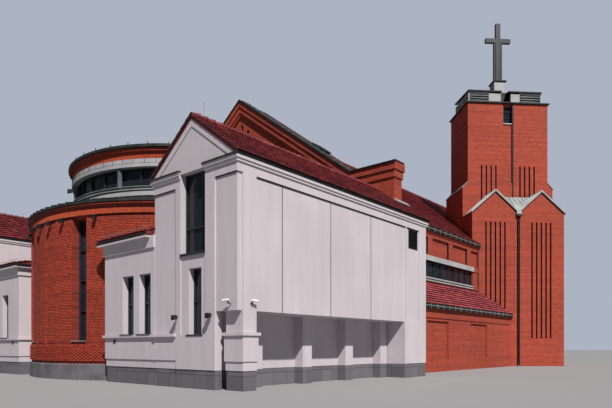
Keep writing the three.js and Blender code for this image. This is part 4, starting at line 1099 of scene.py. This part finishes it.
# %% Wing and annex roof tiles
FRONT, BACK = -0.05, 14.68
foot, head = OUTER + 0.13, INNER - 0.1
outer = [
    (FRONT, foot), (BACK, foot), (BACK, 12.86), (13.45, 12.86), (13.45, WING_MIDDLE), (FRONT, WING_MIDDLE)
]
inner = [(FRONT, WING_MIDDLE), (NAVE_FRONT, WING_MIDDLE), (NAVE_FRONT, 9.06)]
inner += [(5.2, 9.06), (5.2, head), (FRONT, head)]
for side, sign in SIDES.items():
    for part, outline, way, seed in (("outer", outer, -1, 11), ("inner", inner, 1, 12)):
        slope = [(x, sign * y, wing_height(y)) for x, y in outline]
        tile_roof(f"{side}_wing_{part}_tiles", slope, (0, way * sign, 0), seed=seed)
    y, top = sign * WING_MIDDLE, wing_height(WING_MIDDLE) + 0.02
    ridge(f"{side}_wing_ridge", (FRONT, y, top), (13.4, y, top), seed=13)
    lean = [(-0.22, 4.67), (6.6, 4.67), (6.6, 9.03), (0.01, 9.03), (0.01, 8.81), (-0.22, 8.81)]
    slope = [(x, sign * y, 6.643 + (x + 0.22) * ANNEX_PITCH) for x, y in lean]
    tile_roof(f"{side}_annex_tiles", slope, (1, 0, 0), seed=14, clear_radius=9.3)

# %% [markdown]
# ## Nave and aisle roofs
# The nave has two long slopes, the raised piece behind the street gable two short ones, and each aisle one.
# The dark gutters carry a pale bar as a painted highlight, and a strap holds them at every 0.9 m.

# %% Nave and aisle tiles
EAVE = 10.52
RAISED = 1.25


def nave_height(y, lift=0.0):
    """The top of the nave roof; lift is for the raised piece behind the gable."""
    return 10.438 + lift + (EAVE - abs(y)) * PITCH


for side, sign in SIDES.items():
    long_slope = [(14.3, 10.54), (48.2, 10.54), (48.2, 0), (15.95, 0), (15.95, 9.87), (14.3, 9.87)]
    slope = [(x, sign * y, nave_height(y)) for x, y in long_slope]
    tile_roof(f"{side}_nave_tiles", slope, (0, -sign, 0), seed=21, clear_tower=True)
    raised = [(14.3, 9.85), (15.93, 9.85), (15.93, 0), (14.3, 0)]
    slope = [(x, sign * y, nave_height(y, RAISED)) for x, y in raised]
    tile_roof(f"{side}_raised_tiles", slope, (0, -sign, 0), seed=22)
    aisle_end = 34.2 if side == "south" else 48.15
    lean = [(14.3, 12.57), (aisle_end, 12.57), (aisle_end, 10.42), (14.3, 10.42)]
    slope = [(x, sign * y, 4.5 + (12.55 - y) * AISLE_PITCH) for x, y in lean]
    tile_roof(f"{side}_aisle_tiles", slope, (0, -sign, 0), seed=23, clear_tower=True)
ridge("nave_ridge", (16.0, 0, nave_height(0) + 0.02), (48.2, 0, nave_height(0) + 0.02), seed=24)

# %% Nave and aisle gutters with their straps
bm = bmesh.new()
highlight_bars = bmesh.new()
for y, z, start, end in (
    (-10.52, 10.12, 14.65, 31.4),
    (-10.52, 10.12, 39.8, 48.2),
    (10.52, 10.12, 14.65, 48.2),
    (-12.55, 4.18, 14.65, 33.4),
    (12.55, 4.18, 14.65, 48.15),
):
    near, far = sorted((y, y + math.copysign(0.06, y)))
    block(bm, (start, end), (near, far), (z, z + 0.32))
    # A pale bar along the front of each gutter is a painted highlight on its rounded face.
    middle = (near + far) / 2 + math.copysign(0.045, y)
    tube(highlight_bars, [(start, middle, z + 0.17), (end, middle, z + 0.17)], 0.024, sides=8)
piece("nave_and_aisle_gutters", bm, gutter_steel, "sheet_metal", bevel=0.012)
piece("nave_and_aisle_gutter_painted_highlights", highlight_bars, zinc, "sheet_metal")
for name, y, z, count in (
    ("south_nave", -10.585, 10.27, 18),
    ("north_nave", 10.585, 10.27, 37),
    ("south_aisle", -12.615, 4.33, 20),
    ("north_aisle", 12.615, 4.33, 37),
):
    name, size = f"{name}_gutter_straps", (0.04, 0.012, 0.31)
    rows(name, zinc, "sheet_metal", (14.85, y, z), (0.9, 0, 0), count, size)

# %% [markdown]
# ## The street gable of the nave
# A folded metal coping covers the top of the brick gable. It has a dark edge to the street and a pale
# raised seam at every joint of the sheet. The flat shoulders have the same coping.

# %% Coping of the street gable
GABLE = {"half": 12.99, "knee_y": 9.825, "knee_z": 12.3, "apex": 19.54}
dark = bmesh.new()
pale = bmesh.new()
for sign in (-1, 1):
    knee = (sign * GABLE["knee_y"], GABLE["knee_z"])
    for bm, low, high, x, depth in ((dark, -0.06, 0.05, 13.22, 0.08), (pale, 0.03, 0.07, 13.27, 1.05)):
        line = [(0, GABLE["apex"]), knee, (sign * (GABLE["half"] + 0.04), GABLE["knee_z"])]
        for (y0, z0), (y1, z1) in zip(line, line[1:]):
            outline = [(x, y0, z0 + low), (x, y0, z0 + high), (x, y1, z1 + high), (x, y1, z1 + low)]
            prism(bm, outline, (depth, 0, 0))
piece("gable_coping_edge", dark, gutter_steel, "sheet_metal", bevel=0.01)
piece("gable_coping_top", pale, dark_sheet, "sheet_metal", bevel=0.006)
rake = math.atan2(GABLE["apex"] - GABLE["knee_z"], GABLE["knee_y"])
run = Vector((0, GABLE["knee_y"], GABLE["knee_z"] - GABLE["apex"]))
for side, sign in SIDES.items():
    step = Vector((0, sign * run.y, run.z)) / 20
    start = Vector((13.8, 0, GABLE["apex"] + 0.09)) + step / 2
    rows(
        f"{side}_coping_seams", zinc, "sheet_metal", start=start, step=step, count=20,
        size=(1.0, 0.03, 0.07), turn=(-sign * rake, 0, 0)
    )

# %% Raised roof: fascia, hatch and flashing
dark = bmesh.new()
for sign in (-1, 1):
    x = 15.93
    low = [(x, 0, nave_height(0) + 0.05), (x, sign * 9.85, nave_height(9.85) + 0.05)]
    high = [(x, sign * 9.85, nave_height(9.85, RAISED)), (x, 0, nave_height(0, RAISED))]
    prism(dark, low + high, (0.03, 0, 0))
piece("raised_roof_end", dark, dark_sheet, "sheet_metal")
hatch = bmesh.new()
slope = Matrix.Translation((14.9, -6.3, nave_height(6.3, RAISED) + 0.1)) @ Matrix.Rotation(rake, 4, "X")
block(hatch, (-0.4, 0.4), (-0.55, 0.55), (-0.06, 0.12), slope)
block(hatch, (-0.46, 0.46), (-0.61, 0.61), (0.12, 0.17), slope)
piece("roof_hatch", hatch, dark_sheet, "sheet_metal", bevel=0.015)
pale = bmesh.new()
for sign in (-1, 1):
    start = sign * 12.88
    z = wing_height(12.88) + 0.06
    end = start + sign * 0.3
    outline = [(13.4, start, z), (13.4, start, z + 0.14), (13.4, end, z - 0.1), (13.4, end, z - 0.14)]
    prism(pale, outline, (1.3, 0, 0))
piece("shoulder_flashing", pale, zinc, "sheet_metal", bevel=0.006)

# %% [markdown]
# ## Strip windows of the nave
# One long window runs under the frieze, with no brick between its panes and a post every 1.12 m. Its sill is
# dark metal on a pale band with a drip groove, and another pale band lies over it.

# %% Strip window frames, sills and lintels
STRIP_Z = (6.83, 7.95)
STRIP_GLASS_Y = 10.2
STRIPS = ((-1, 15.6, 30.13, 13), (1, 15.6, 46.1, 27), (-1, 41.0, 46.1, 5))
frames, glass, sills, bands = (bmesh.new() for _ in range(4))
for sign, low, high, panes in STRIPS:
    posts = [low + (high - low) * i / panes for i in range(1, panes)]
    bars(frames, "y", sign * STRIP_GLASS_Y, (low, high), STRIP_Z, posts=posts, depth=sign * 0.08, width=0.07)
    block(glass, (low + 0.01, high - 0.01), mirrored(sign, 10.17, STRIP_GLASS_Y), (6.84, 7.94))
    block(sills, (low, high), mirrored(sign, STRIP_GLASS_Y, 10.48), (6.74, 6.84))
    block(bands, (low, high), mirrored(sign, 10.46, 10.5), (6.46, 6.75))
    block(sills, (low, high), mirrored(sign, 10.49, 10.51), (6.56, 6.65))
    block(bands, (low - 0.1, high + 0.1), mirrored(sign, STRIP_GLASS_Y, 10.49), (7.95, 8.33))
piece("nave_window_frames", frames, frame_aluminium, "glass", bevel=0.006)
piece("nave_outer_panes", glass, glass_over_painted_dark_rooms, "glass", bevel=0.004)
piece("nave_window_sills", sills, gutter_steel, "sheet_metal", bevel=0.01)
piece("nave_window_bands", bands, pale_stone, "pale_stone", bevel=0.01)
# Black strips at the edges of the frieze panels draw the deep grooves there as painted shade.
grooves = bmesh.new()
for sign, low, high in ((-1, 16.17, 30.4), (1, 16.17, 46.0), (-1, 40.0, 46.0)):
    for i in range(10):
        start = 16.17 + 3.39 * i
        if start >= low and start + 2.68 <= high:
            for x in (start, start + 2.64):
                block(grooves, (x, x + 0.04), mirrored(sign, 10.25, 10.39), (8.41, 9.68))
piece("frieze_painted_groove_shade", grooves, lamp_black, "brick", bevel=0.002)
pipe = bmesh.new()
tube(pipe, [(31.15, -10.46, 6.0), (31.15, -10.46, 10.15)], 0.04)
piece("nave_downpipe", pipe, dark_sheet, "sheet_metal", smooth=True)

# %% [markdown]
# ## The tower
# All of these pieces are measured in the tower's own frame. Sheet zinc covers the twin gables with standing
# seams and a verge trim, and a sloping sheet closes the valley between them. Dark panes close the slots,
# partly as dark glazing and partly as painted shade inside them, and a dark strip beside the top window
# paints the shade in the groove there.

# %% Zinc on the twin gables
EAVES = 13.2
GABLE_TOP = 15.05
zigzag = [(-4.2, EAVES - 0.03), (-2.05, GABLE_TOP), (0, EAVES), (2.05, GABLE_TOP), (4.2, EAVES - 0.03)]
trim = bmesh.new()
under = bmesh.new()
for (x0, z0), (x1, z1) in zip(zigzag, zigzag[1:]):
    for bm, low, high, y, depth in ((trim, -0.02, 0.17, -0.12, 0.08), (under, -0.08, -0.02, -0.08, 0.075)):
        outline = [(x0, y, z0 + low), (x1, y, z1 + low), (x1, y, z1 + high), (x0, y, z0 + high)]
        prism(bm, outline, (0, depth, 0), TOWER)
piece("gable_verge_trim", trim, zinc, "sheet_metal", bevel=0.008)
piece("gable_verge_shadow_strip", under, gutter_steel, "sheet_metal")
valley = bmesh.new()
low, back = EAVES + 0.08, 1.98
corners = [(0, -0.04, low), (-2.03, back, GABLE_TOP + 0.06), (2.03, back, GABLE_TOP + 0.06), (0, back, low)]
tip, left, right, foot = (valley.verts.new(TOWER @ Vector(corner)) for corner in corners)
for face in ((tip, left, right), (tip, left, foot), (tip, right, foot), (left, right, foot)):
    valley.faces.new(face)
piece("tower_valley_sheet", valley, zinc, "sheet_metal")
ribs = bmesh.new()
for i in range(-4, 5):
    x = 0.4 * i
    start = (x, back * abs(x) / 2.03, low + (GABLE_TOP + 0.06 - low) * abs(x) / 2.03)
    tube(ribs, [start, (x, back, GABLE_TOP + 0.06)], 0.022, TOWER, sides=6)
piece("tower_valley_seams", ribs, gutter_steel, "sheet_metal")
roof_slope = math.atan2(GABLE_TOP - EAVES, 2.05)
for number, (x, way) in enumerate(((-3.08, -1), (-1.02, 1), (1.02, -1), (3.08, 1))):
    rows(
        f"tower_roof_seams_{number + 1}", zinc, "sheet_metal",
        start=(x, 0.3, (EAVES + GABLE_TOP) / 2 + 0.12), step=(0, 0.45, 0), count=4, size=(2.7, 0.03, 0.07),
        turn=(0, way * roof_slope, 0), place=TOWER
    )

# %% Dark panes in the slots
# Black panes at the back of the slots are dark glazing that also paints the shade inside them.
for name, x, y, z, step, count, height in (
    ("tower_left", -2.05 - 0.84, 0.19, 7.4, 0.42, 5, 10.0),
    ("tower_right", 2.05 - 0.84, 0.19, 7.4, 0.42, 5, 10.0),
    ("shaft_left", -2.44, 2.19, 16.4, 0.44, 4, 3.0),
    ("shaft_right", 1.12, 2.19, 16.4, 0.44, 4, 3.0),
):
    name, size = f"{name}_slot_panes", (0.15, 0.05, height)
    rows(name, lamp_black, "glass", (x, y, z), (step, 0, 0), count, size, place=TOWER)

# %% Top window, painted groove shade, flashings and downpipe
pane = bmesh.new()
block(pane, (-0.36, 0.36), (2.3, 2.34), (21.75, 23.32), TOWER)
piece("tower_window_pane", pane, glass_over_painted_dark_rooms, "glass")
dark = bmesh.new()
# This strip paints the shade along one side of the groove beside the window; the other bars are the window's
# dark frame.
block(dark, (0.38, 0.51), (1.97, 2.12), (14.0, 23.5), TOWER)
for z in (22.3, 22.85):
    block(dark, (-0.36, 0.36), (2.24, 2.3), (z - 0.025, z + 0.025), TOWER)
block(dark, (-0.46, -0.34), (2.08, 2.3), (21.77, 23.45), TOWER)
block(dark, (0.34, 0.42), (2.08, 2.3), (21.77, 23.45), TOWER)
piece("tower_window_frame_and_painted_groove_shade", dark, gutter_steel, "sheet_metal", bevel=0.008)
pale = bmesh.new()
block(pale, (-0.46, 0.4), (2.0, 2.3), (21.66, 21.75), TOWER)
for sign in (-1, 1):
    edge = [(sign * 4.24, 15.84), (sign * 3.7, 16.41), (sign * 3.7, 16.48), (sign * 4.24, 15.91)]
    prism(pale, [(x, 1.94, z) for x, z in edge], (0, 4.42, 0), TOWER)
piece("tower_flashings", pale, zinc, "sheet_metal", bevel=0.008)
pipe = bmesh.new()
tube(pipe, [(0, -0.02, 0.1), (0, -0.02, 12.92)], 0.075, TOWER)
for z in (2.0, 5.0, 8.0, 11.0):
    tube(pipe, [(0, -0.02, z), (0, -0.02, z + 0.12)], 0.095, TOWER)
block(pipe, (-0.225, 0.225), (-0.205, -0.02), (12.875, 13.06), TOWER)
piece("downpipe_coat", pipe, gutter_steel, "sheet_metal", smooth=True)

# %% [markdown]
# ## The crown of the tower
# A dark coping closes the brick. On it stand two louvred chambers with sloping lids and pale blocks. The
# slats are rows of tilted strips in front of a dark core.

# %% Coping, chambers and blocks
dark = bmesh.new()
block(dark, (-3.84, 3.84), (1.86, 6.44), (23.5, 23.62), TOWER)
for low, high in ((-3.3, -0.45), (0.45, 3.3)):
    block(dark, (low, high), (2.62, 5.7), (23.6, 24.72), TOWER)
    lid = [(low - 0.2, 2.4, 24.74), (low - 0.2, 5.9, 24.98), (low - 0.2, 5.9, 25.08), (low - 0.2, 2.4, 24.86)]
    prism(dark, lid, (high - low + 0.3, 0, 0), TOWER)
block(dark, (-0.5, 0.5), (3.1, 5.3), (23.6, 25.0), TOWER)
piece("crown_coping_and_lids", dark, gutter_steel, "sheet_metal", "tower_crown", bevel=0.015)
pale = bmesh.new()
for low, high in ((-1.55, -0.42), (0.5, 1.35)):
    block(pale, (low, high), (2.5, 5.8), (23.64, 24.62), TOWER)
for low, high in ((-3.4, -1.45), (1.3, 3.4)):
    block(pale, (low, high), (2.54, 5.78), (24.6, 24.74), TOWER)
for x in (-3.38, 3.38):
    for y in (2.6, 4.16, 5.72):
        block(pale, (x - 0.06, x + 0.06), (y - 0.06, y + 0.06), (23.64, 24.7), TOWER)
piece("crown_blocks", pale, pale_stone, "sheet_metal", bevel=0.015)
louvres = []
for name, x, width in (("left", -2.42, 1.8), ("right", 2.36, 1.9)):
    for face, y, tilt in (("front", 2.56, LOUVRE_TILT), ("back", 5.76, -LOUVRE_TILT)):
        louvres.append((f"{name}_{face}", (x, y, 23.74), (width, 0.16, 0.07), (tilt, 0, 0)))
for name, x, tilt in (("left", -3.36, -LOUVRE_TILT), ("right", 3.36, LOUVRE_TILT)):
    louvres.append((f"{name}_side", (x, 4.16, 23.74), (0.16, 3.0, 0.07), (0, tilt, 0)))
for name, start, size, turn in louvres:
    rows(f"crown_{name}_louvres", zinc, "sheet_metal", start, (0, 0, 0.23), 4, size, turn, TOWER)

# %% [markdown]
# ## Pedestal and cross
# The cross is made of steel plates in layers: a middle plate that runs the whole height, two shorter plates
# beside it up to the arms, and arms with a recessed underside. Thin gaps between the plates draw dark lines.

# %% Pedestal and cross
CENTRE = 4.15
pale = bmesh.new()
block(pale, (-0.54, 0.54), (CENTRE - 0.5, CENTRE + 0.5), (24.5, 26.3), TOWER)
piece("cross_pedestal", pale, pale_stone, "dark_steel", "tower_cross", bevel=0.02)
dark = bmesh.new()
block(dark, (-0.64, 0.64), (CENTRE - 0.6, CENTRE + 0.6), (26.3, 26.4), TOWER)
block(dark, (-0.4, -0.02), (CENTRE - 0.515, CENTRE - 0.49), (24.98, 25.06), TOWER)
piece("pedestal_cap", dark, gutter_steel, "dark_steel", bevel=0.015)
steel = bmesh.new()
block(steel, (-0.225, 0.225), (CENTRE - 0.14, CENTRE + 0.14), (26.4, 31.9), TOWER)
for sign in (-1, 1):
    for near, far, half, z in (
        (0.25, 0.4, 0.12, (26.4, 30.12)),
        (0.2, 0.27, 0.06, (26.4, 30.12)),
        (0.2, 1.2, 0.14, (30.1, 30.5)),
    ):
        block(steel, mirrored(sign, near, far), (CENTRE - half, CENTRE + half), z, TOWER)
piece("cross_plates", steel, cross_steel, "dark_steel", bevel=0.012)

# %% [markdown]
# ## Fittings on the street side
# Two black floodlights are fixed to the street front of each wing and two white cameras to its corner, and a
# thin rod stands on the ridge.


# %% Floodlights, cameras and rods
def camera_fitting(bm_body, bm_arm, spot, facing):
    """A short tube on an upright arm, looking along facing."""
    spot, facing = Vector(spot), Vector(facing).normalized()
    tube(bm_body, [spot, spot + facing * 0.22 + Vector((0, 0, -0.02))], 0.05)
    tube(bm_body, [spot - facing * 0.06, spot], 0.035)
    tube(bm_arm, [spot + Vector((0, 0, -0.04)), spot + Vector((0, 0, -0.15))], 0.02)


for side, sign in SIDES.items():
    black = bmesh.new()
    for y in (OUTER - 3.6, OUTER - 1.46):
        spot = Matrix.Translation((0, sign * y, 0))
        tapered(black, (-0.06, 0.07, 2.8, 2.95), (-0.24, 0.11, 2.74, 2.95), spot)
        block(black, (-0.1, 0.04), (-0.025, 0.025), (2.84, 2.9), spot)
    arms = bmesh.new()
    white = bmesh.new()
    camera_fitting(white, arms, (-0.1, sign * (OUTER - 0.4), 3.4), (-0.3, sign * -0.9, 0))
    camera_fitting(white, arms, (0.69, sign * (OUTER + 0.1), 3.4), (0.9, sign * 0.3, 0))
    tube(black, [(-0.1, sign * (OUTER - 0.4), 3.33), (0.06, sign * (OUTER - 0.4), 3.24)], 0.022)
    tube(black, [(0.69, sign * (OUTER + 0.1), 3.33), (0.69, sign * (OUTER - 0.02), 3.24)], 0.022)
    piece(f"{side}_floodlights", black, lamp_black, "dark_steel", bevel=0.008)
    piece(f"{side}_camera_arms", arms, lamp_black, "dark_steel")
    piece(f"{side}_cameras", white, camera_white, "dark_steel", smooth=True)
    rod = bmesh.new()
    z = wing_height(WING_MIDDLE)
    tube(rod, [(0.6, sign * WING_MIDDLE, z), (0.6, sign * WING_MIDDLE, z + 0.75)], 0.014, sides=8)
    piece(f"{side}_ridge_rod", rod, zinc, "sheet_metal")

# %% [markdown]
# ## The far end
# The east gable has a portal with two boarded leaves, as such a church has at the end of its nave.

# %% East doors
bm = bmesh.new()
for sign in (-1, 1):
    block(bm, (47.66, 47.74), mirrored(sign, 0.02, 1.58), (0.16, 3.56))
    for i in range(6):
        near = 0.06 + i * 0.25
        block(bm, (47.72, 47.78), mirrored(sign, near, near + 0.235), (0.2, 3.5))
piece("east_door_leaves", bm, door_oak, "dark_steel", bevel=0.008)

# %% [markdown]
# ## Floor and light
# The model stands on a plain grey floor. A sun a little softer than the real one stands behind the camera's
# right shoulder, so the long side is bright, the street side dimmer, and the sky's even light fills the
# shadows.

# %% Floor, sun and sky
floor_material, tree, shader = new_finish("studio_floor", roughness=0.95)
shader.inputs["Base Color"].default_value = linear("#8E8E8F")
bm = bmesh.new()
bmesh.ops.create_circle(bm, cap_ends=True, segments=96, radius=160.0)
mesh = bpy.data.meshes.new("studio_floor")
bm.to_mesh(mesh)
bm.free()
mesh.materials.append(floor_material)
floor = bpy.data.objects.new("studio_floor", mesh)
floor.location.z = -0.002
scene.collection.objects.link(floor)

sun_data = bpy.data.lights.new("soft_sun", "SUN")
sun_data.energy = 5.1
sun_data.angle = math.radians(1.2)
sun_data.color = (1.0, 0.975, 0.94)
sun = bpy.data.objects.new("soft_sun", sun_data)
sun.rotation_euler = Vector((-1.0, -1.75, 2.2)).to_track_quat("Z", "Y").to_euler()
scene.collection.objects.link(sun)

world = bpy.data.worlds.new("studio_sky")
world.use_nodes = True
tree = world.node_tree
rays = add(tree, "ShaderNodeLightPath")
strength = add(tree, "ShaderNodeMapRange", {0: rays.outputs["Is Camera Ray"], 3: 0.16, 4: 0.62})
sky = tree.nodes["Background"]
sky.inputs["Color"].default_value = linear("#D5DEF0")
tree.links.new(strength.outputs[0], sky.inputs["Strength"])
scene.world = world
scene.view_settings.view_transform = "Standard"
